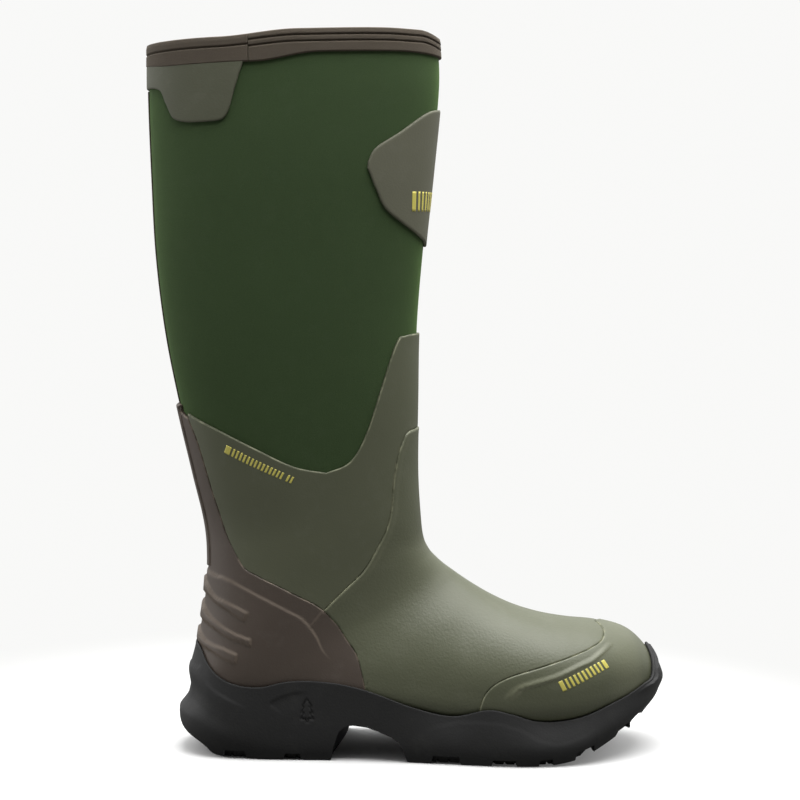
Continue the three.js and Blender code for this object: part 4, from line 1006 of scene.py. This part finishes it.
# Lines of the wall as [x, z] in side view
SOLE_LINES = {
    "crease": [[-139, 54], [-137.7, 51.1], [-135.3, 46.1], [-129.4, 41.1], [-121.4, 37.1], [-113.5, 33.6],
               [-105.6, 30.5]],
    "flare": [[-160, 28.5], [-148, 28], [-141.1, 26.5], [-136.2, 24.5], [-128.3, 20.5], [-116.4, 16],
              [-104, 13.5]],
    "scallop": [[-94, 33], [-92.3, 35.5], [-86.3, 38.5], [-78.4, 40.9], [-67.6, 41.9]],
    "swell": [[0, 17], [10, 21.5], [23.1, 24.7], [35.9, 25], [48.2, 24.5], [60, 21], [72, 14.5], [83.1, 11.7],
              [93, 13.6], [102.7, 17.3], [114, 25]],
}
# A small pine tree, cut into the wall
EMBLEM = [[-70.8, 38.2], [-73.9, 33.7], [-72.3, 33.7], [-74.6, 29.6], [-72.6, 29.6], [-74.9, 25.8],
          [-71.5, 25.8], [-71.5, 23.8], [-70.1, 23.8], [-70.1, 25.8], [-66.7, 25.8], [-69.0, 29.6],
          [-67.0, 29.6], [-69.3, 33.7], [-67.7, 33.7], [-70.8, 38.2]]


def plane_distance(x, z, line):
    """Distance in side view from x, z to a polyline, and how far along it the nearest point is, 0 to 1."""
    line = np.array(line, float)
    best = np.full(x.shape, 1e9)
    share = np.zeros(x.shape)
    count = len(line) - 1
    for k in range(count):
        a, b = line[k], line[k + 1]
        d = b - a
        f = np.clip(((x - a[0]) * d[0] + (z - a[1]) * d[1]) / (d @ d), 0, 1)
        gap = np.hypot(x - a[0] - f * d[0], z - a[1] - f * d[1])
        nearer = gap < best
        best = np.where(nearer, gap, best)
        share = np.where(nearer, (k + f) / count, share)
    return best, share


def above_line(x, z, name):
    """Height of x, z over a line of the wall, read as height against x."""
    return z - np.interp(x, *np.transpose(SOLE_LINES[name]))


def step_at(x, z, name, under, over, reach):
    """1 at a line of the wall. It falls off below the line as under(distance), over mm above it, and along
    the line as reach(share of its length)."""
    gap, share = plane_distance(x, z, SOLE_LINES[name])
    return reach(share) * np.where(above_line(x, z, name) < 0, under(gap), 1 - smooth(0, over, gap))


def wall_relief(x, z, depth):
    """What is moulded into the sole's wall, in side view; depth is the distance below its top edge."""
    out = 0.8 * step_at(x, z, "crease", lambda gap: 1 - 0.5 * smooth(0, 16, gap), 1.6,
                        lambda share: 1 - smooth(0.6, 1.0, share))
    out -= 0.5 * step_at(x, z, "scallop", lambda gap: 1 - smooth(0, 12, gap), 2.0,
                         lambda share: smooth(0, 0.2, share) * (1 - smooth(0.75, 1.0, share)))
    out += 0.28 * step_at(x, z, "swell", lambda gap: 1 - smooth(3, 16, gap), 3.2,
                          lambda share: smooth(0, 0.15, share) * (1 - smooth(0.85, 1.0, share)))
    height = above_line(x, z, "flare")
    waist = smooth(-4.0, 6.5, height) * (1 - 0.95 * smooth(9, 24, height))
    out -= (1.2 * (1 - smooth(-142, -104, x)) + 3.5 * (1 - smooth(-150, -132, x))) * waist
    out += 2.8 * smooth(132, 146, x) * smooth(36, 46, z) * (1 - 0.3 * smooth(56, 66, z))
    out -= 0.7 * (1 - smooth(0.2, 0.6, plane_distance(x, z, EMBLEM)[0]))
    tip = smooth(136, 148, x)
    lip = 1.3 * tip * (1 - smooth(0.8, 2.6, depth))
    return out * smooth(1.0, 3.0 - 1.5 * tip, depth) + lip


WALL_ROWS = 56
WALL_TOP = [0, 0.006, 0.014, 0.026, 0.042]
WALL_SHARES = np.concatenate([WALL_TOP, np.linspace(0.06, 0.985, WALL_ROWS - 6), [1.0]])
TOP_RADIUS = 0.7
# The groove between the sole's top edge and the upper: mm in from the edge and mm down
GROOVE_INSIDE = ((4.2, 6.0), (0.9, 1.9), (0.7, 1.3), (0.6, 0.25), (0.35, 0.0))


def wall(side, s, rows):
    """One side of the sole's wall, from the groove inside its top edge over that edge and down to the tread.
    It runs through the top edge, the widest outline and the tread's edge in one smooth curve."""
    u, t = rows[:, 0], rows[:, 1]
    u = u if side == OUTER else 1 - u
    edge = skin(u, t, edge_off(t))
    wide, out = outline(s, side, np.zeros(len(s)))
    under, _ = outline(s, side, rows[:, 6])
    floor = np.maximum(rows[:, 7], 0)
    f = np.linspace(0, 2, 81)
    plan = catmull(guided(np.stack([edge[:, :2], wide, under])), f)
    height = catmull(guided(np.stack([edge[:, 2], rows[:, 5], floor])), f)
    foot = tread(under[:, 0], under[:, 1], floor, np.zeros(len(s)))
    foot = np.minimum(foot, edge[:, 2] - 6)
    grid = np.empty((len(s), WALL_ROWS, 3))
    grid[..., 2] = edge[:, 2:] + (foot[:, None] - edge[:, 2:]) * WALL_SHARES
    for k in range(len(s)):
        order = np.argsort(height[:, k])
        for axis in (0, 1):
            grid[k, :, axis] = np.interp(grid[k, :, 2], height[order, k], plan[order, k, axis])
    depth = edge[:, 2:] - grid[..., 2]
    relief = wall_relief(grid[..., 0], grid[..., 2], depth)
    round_top = (rounded(depth, TOP_RADIUS) - 1) * TOP_RADIUS
    ends_fade = smooth(0, 1.2, grid[..., 2] - foot[:, None]) * 0.6 + 0.4
    grid[..., :2] += out[:, None, :] * (relief * ends_fade + round_top)[..., None]
    inside = [skin(u, t, edge_off(t) - inward) - (0, 0, drop) for inward, drop in GROOVE_INSIDE]
    return np.concatenate([np.stack(inside, 1), grid], 1)


def outsole():
    """The walls of both sides and the tread between them."""
    s, rows = stations(760)
    walls = [wall(side, s, rows) for side in (OUTER, INNER)]
    size = walls[0].shape[:2]
    faces = [grid_faces(*size), grid_faces(*size, first=size[0] * size[1])[:, ::-1]]
    wall_points = np.concatenate(walls).reshape(-1, 3)
    add_mesh("sole_wall", wall_points, np.concatenate(faces), BLACK, ["outsole"],
             {"edge": np.full(len(wall_points), UNWORN)}, sharp=50)
    outer, inner = walls[0][:, -1], walls[1][:, -1]
    share = np.concatenate([[0, 0.006, 0.012, 0.02], np.linspace(0.03, 0.97, 92), [0.98, 0.988, 0.994, 1]])
    grid = outer[:, None] + (inner - outer)[:, None] * share[None, :, None]
    width = np.linalg.norm((inner - outer)[:, :2], axis=1)[:, None]
    edge = np.minimum(share, 1 - share)[None, :] * width
    floor = np.broadcast_to(np.maximum(rows[:, 7], 0)[:, None], edge.shape)
    height = tread(grid[..., 0], grid[..., 1], floor, edge)
    grid[..., 2] += (height - grid[..., 2]) * smooth(0, 0.8, edge)
    flat = grid.reshape(-1, 3)
    add_mesh("sole_tread", flat, grid_faces(*grid.shape[:2])[:, ::-1], BLACK, ["outsole"],
             {"edge": np.full(len(flat), UNWORN)}, sharp=35)


outsole()

# ---- Printed marks ----------------------------------------------------------------------------------


def stripe(name, corners, off, node):
    """A printed bar between four corners [u, t], a thin film on the rubber under it."""
    a, b, c, d = corners
    f = np.linspace(0, 1, 10)[:, None, None]
    g = np.linspace(0, 1, 10)[None, :, None]
    u, t = np.moveaxis((a + (b - a) * f) * (1 - g) + (d + (c - d) * f) * g, -1, 0)
    points, faces = shell(skin(u, t, off + 0.12), skin(u, t, off - 0.1))
    add_mesh(name, points, faces, PRINT, [node], {"edge": np.full(len(points), UNWORN)})


def bars(name, start, end, rise, widths, slant, off, node):
    """A row of slanted bars from start to end [u, t]; rise is the step in u, t across the row, and widths are
    the shares of each bar and gap in turn."""
    start, end, rise = (np.array(v, float) for v in (start, end, rise))
    shares = np.concatenate([[0], np.cumsum(widths)]) / sum(widths)
    for k, (low, high) in enumerate(zip(shares[::2], shares[1::2])):
        low_foot, high_foot = (start + (end - start) * share - rise / 2 for share in (low, high))
        lean = (end - start) * slant + rise
        stripe(f"{name}_{k}", [low_foot, high_foot, high_foot + lean, low_foot + lean], off, node)


# Each row's film lies just proud of the rubber that it is printed on
bars("ankle_mark", [0.378, 5.6], [0.268, 6.08], [0.0055, 0.115],
     [2.2, 0.8] + 13 * [0.8, 0.75] + [0.8, 1.8, 0.8, 0.8, 0.8], -0.02, 1.87, "ankle_shell")
bars("toe_mark", [0.243, 17.58], [0.203, 18.96], [0.0215, 0.1],
     [1.6, 0.9] + 9 * [0.9, 0.9] + [1.6], 0.03, 3.17, "toe_cap")
bars("badge_mark", [0.067, 2.4], [-0.067, 2.4], [0.0, 0.24],
     [2.0, 1.2] + 14 * [1.1, 1.2] + [2.0], 0.02, 1.97, "shin_badge")

# ---- Hidden parts -----------------------------------------------------------------------------------

for node, material in (("insole_board", BOARD), ("shank", STEEL), ("midsole", FOAM)):
    mesh = frame["nodes"][node].data
    mesh.materials.clear()
    mesh.materials.append(material)

# ---- Stage ------------------------------------------------------------------------------------------

scene = bpy.context.scene
scene.view_settings.view_transform = "Standard"
scene.view_settings.look = "None"
BACKDROP = (0.945, 0.945, 0.935, 1)


def floor():
    """A white floor that shows the soft shadow under the boot, fades into the backdrop further away, and
    throws only a little light back up."""
    bpy.ops.mesh.primitive_plane_add(size=14, location=(0, 3, -0.0005))
    plane = bpy.context.object
    plane.name = "floor"
    material, tree, shader = new_material("floor_white")
    tree.nodes.remove(shader)
    place = wire(tree, "NewGeometry", {}, "Position")
    far = wire(tree, "VectorMath", {0: place, 1: (-0.04, 0, 0)}, "Value", operation="DISTANCE")
    backdrop = wire(tree, "Emission", {"Color": BACKDROP})
    paper = wire(tree, "BsdfDiffuse", {"Color": (0.8, 0.8, 0.795, 1)})
    dull = wire(tree, "BsdfDiffuse", {"Color": (0.16, 0.16, 0.155, 1)})
    seen = wire(tree, "MixShader", {0: ramp(tree, far, 0.06, 0.42), 1: paper, 2: backdrop})
    both = wire(tree, "MixShader", {0: wire(tree, "LightPath", {}, "Is Camera Ray"), 1: dull, 2: seen})
    tree.links.new(both, tree.nodes["Material Output"].inputs["Surface"])
    plane.data.materials.append(material)


def light(name, place, target, width, height, power):
    """A soft rectangular light aimed at target."""
    data = bpy.data.lights.new(name, "AREA")
    data.shape = "RECTANGLE"
    data.size, data.size_y = width, height
    data.energy = power
    lamp = bpy.data.objects.new(name, data)
    lamp.location = place
    direction = np.array(target) - np.array(place)
    pitch = math.atan2(math.hypot(direction[0], direction[1]), -direction[2])
    lamp.rotation_euler = (pitch, 0, math.atan2(direction[1], direction[0]) - math.pi / 2)
    scene.collection.objects.link(lamp)


# How the world's light changes along each axis of its direction: from, to, and the strength at both
GLOW = (("Y", -0.8, 0.4, 0.125, 1.62), ("Z", -0.1, 0.9, 0.48, 1.34), ("X", -1.0, 1.0, 1.22, 0.88))


def world():
    """A white studio: near white to the camera; as a light, brighter from above, from behind the boot and
    from its heel's side."""
    backdrop = bpy.data.worlds.new("studio")
    backdrop.use_nodes = True
    tree = backdrop.node_tree
    tree.nodes.clear()
    direction = wire(tree, "TexCoord", {}, "Generated")
    level = 1.0
    for axis, *limits in GLOW:
        along = wire(tree, "SeparateXYZ", {0: direction}, axis)
        ranges = dict(zip(("From Min", "From Max", "To Min", "To Max"), limits))
        factor = wire(tree, "MapRange", {"Value": along, **ranges}, "Result")
        level = calculate(tree, "MULTIPLY", level, factor)
    glow = wire(tree, "Background", {"Strength": level})
    seen = wire(tree, "Background", {"Color": BACKDROP})
    both = wire(tree, "MixShader", {0: wire(tree, "LightPath", {}, "Is Camera Ray"), 1: glow, 2: seen})
    tree.links.new(both, tree.nodes.new("ShaderNodeOutputWorld").inputs[0])
    scene.world = backdrop


floor()
world()
light("overhead", (0.15, -0.04, 1.05), (0.15, -0.03, 0), 0.9, 1.0, 20.5)
light("heel_side", (-1.0, 0.1, 0.42), (-0.05, 0.0, 0.24), 0.6, 0.9, 3.0)

camera_data = bpy.data.cameras.new("camera")
camera_data.lens = 85.0
camera_data.sensor_width = 36.0
camera_data.clip_start = 0.05
camera = bpy.data.objects.new("camera", camera_data)
camera.location = (-0.00415, -1.19525, 0.304)
camera.rotation_euler = (math.radians(90 - 3.946), 0, 0)
scene.collection.objects.link(camera)
scene.camera = camera
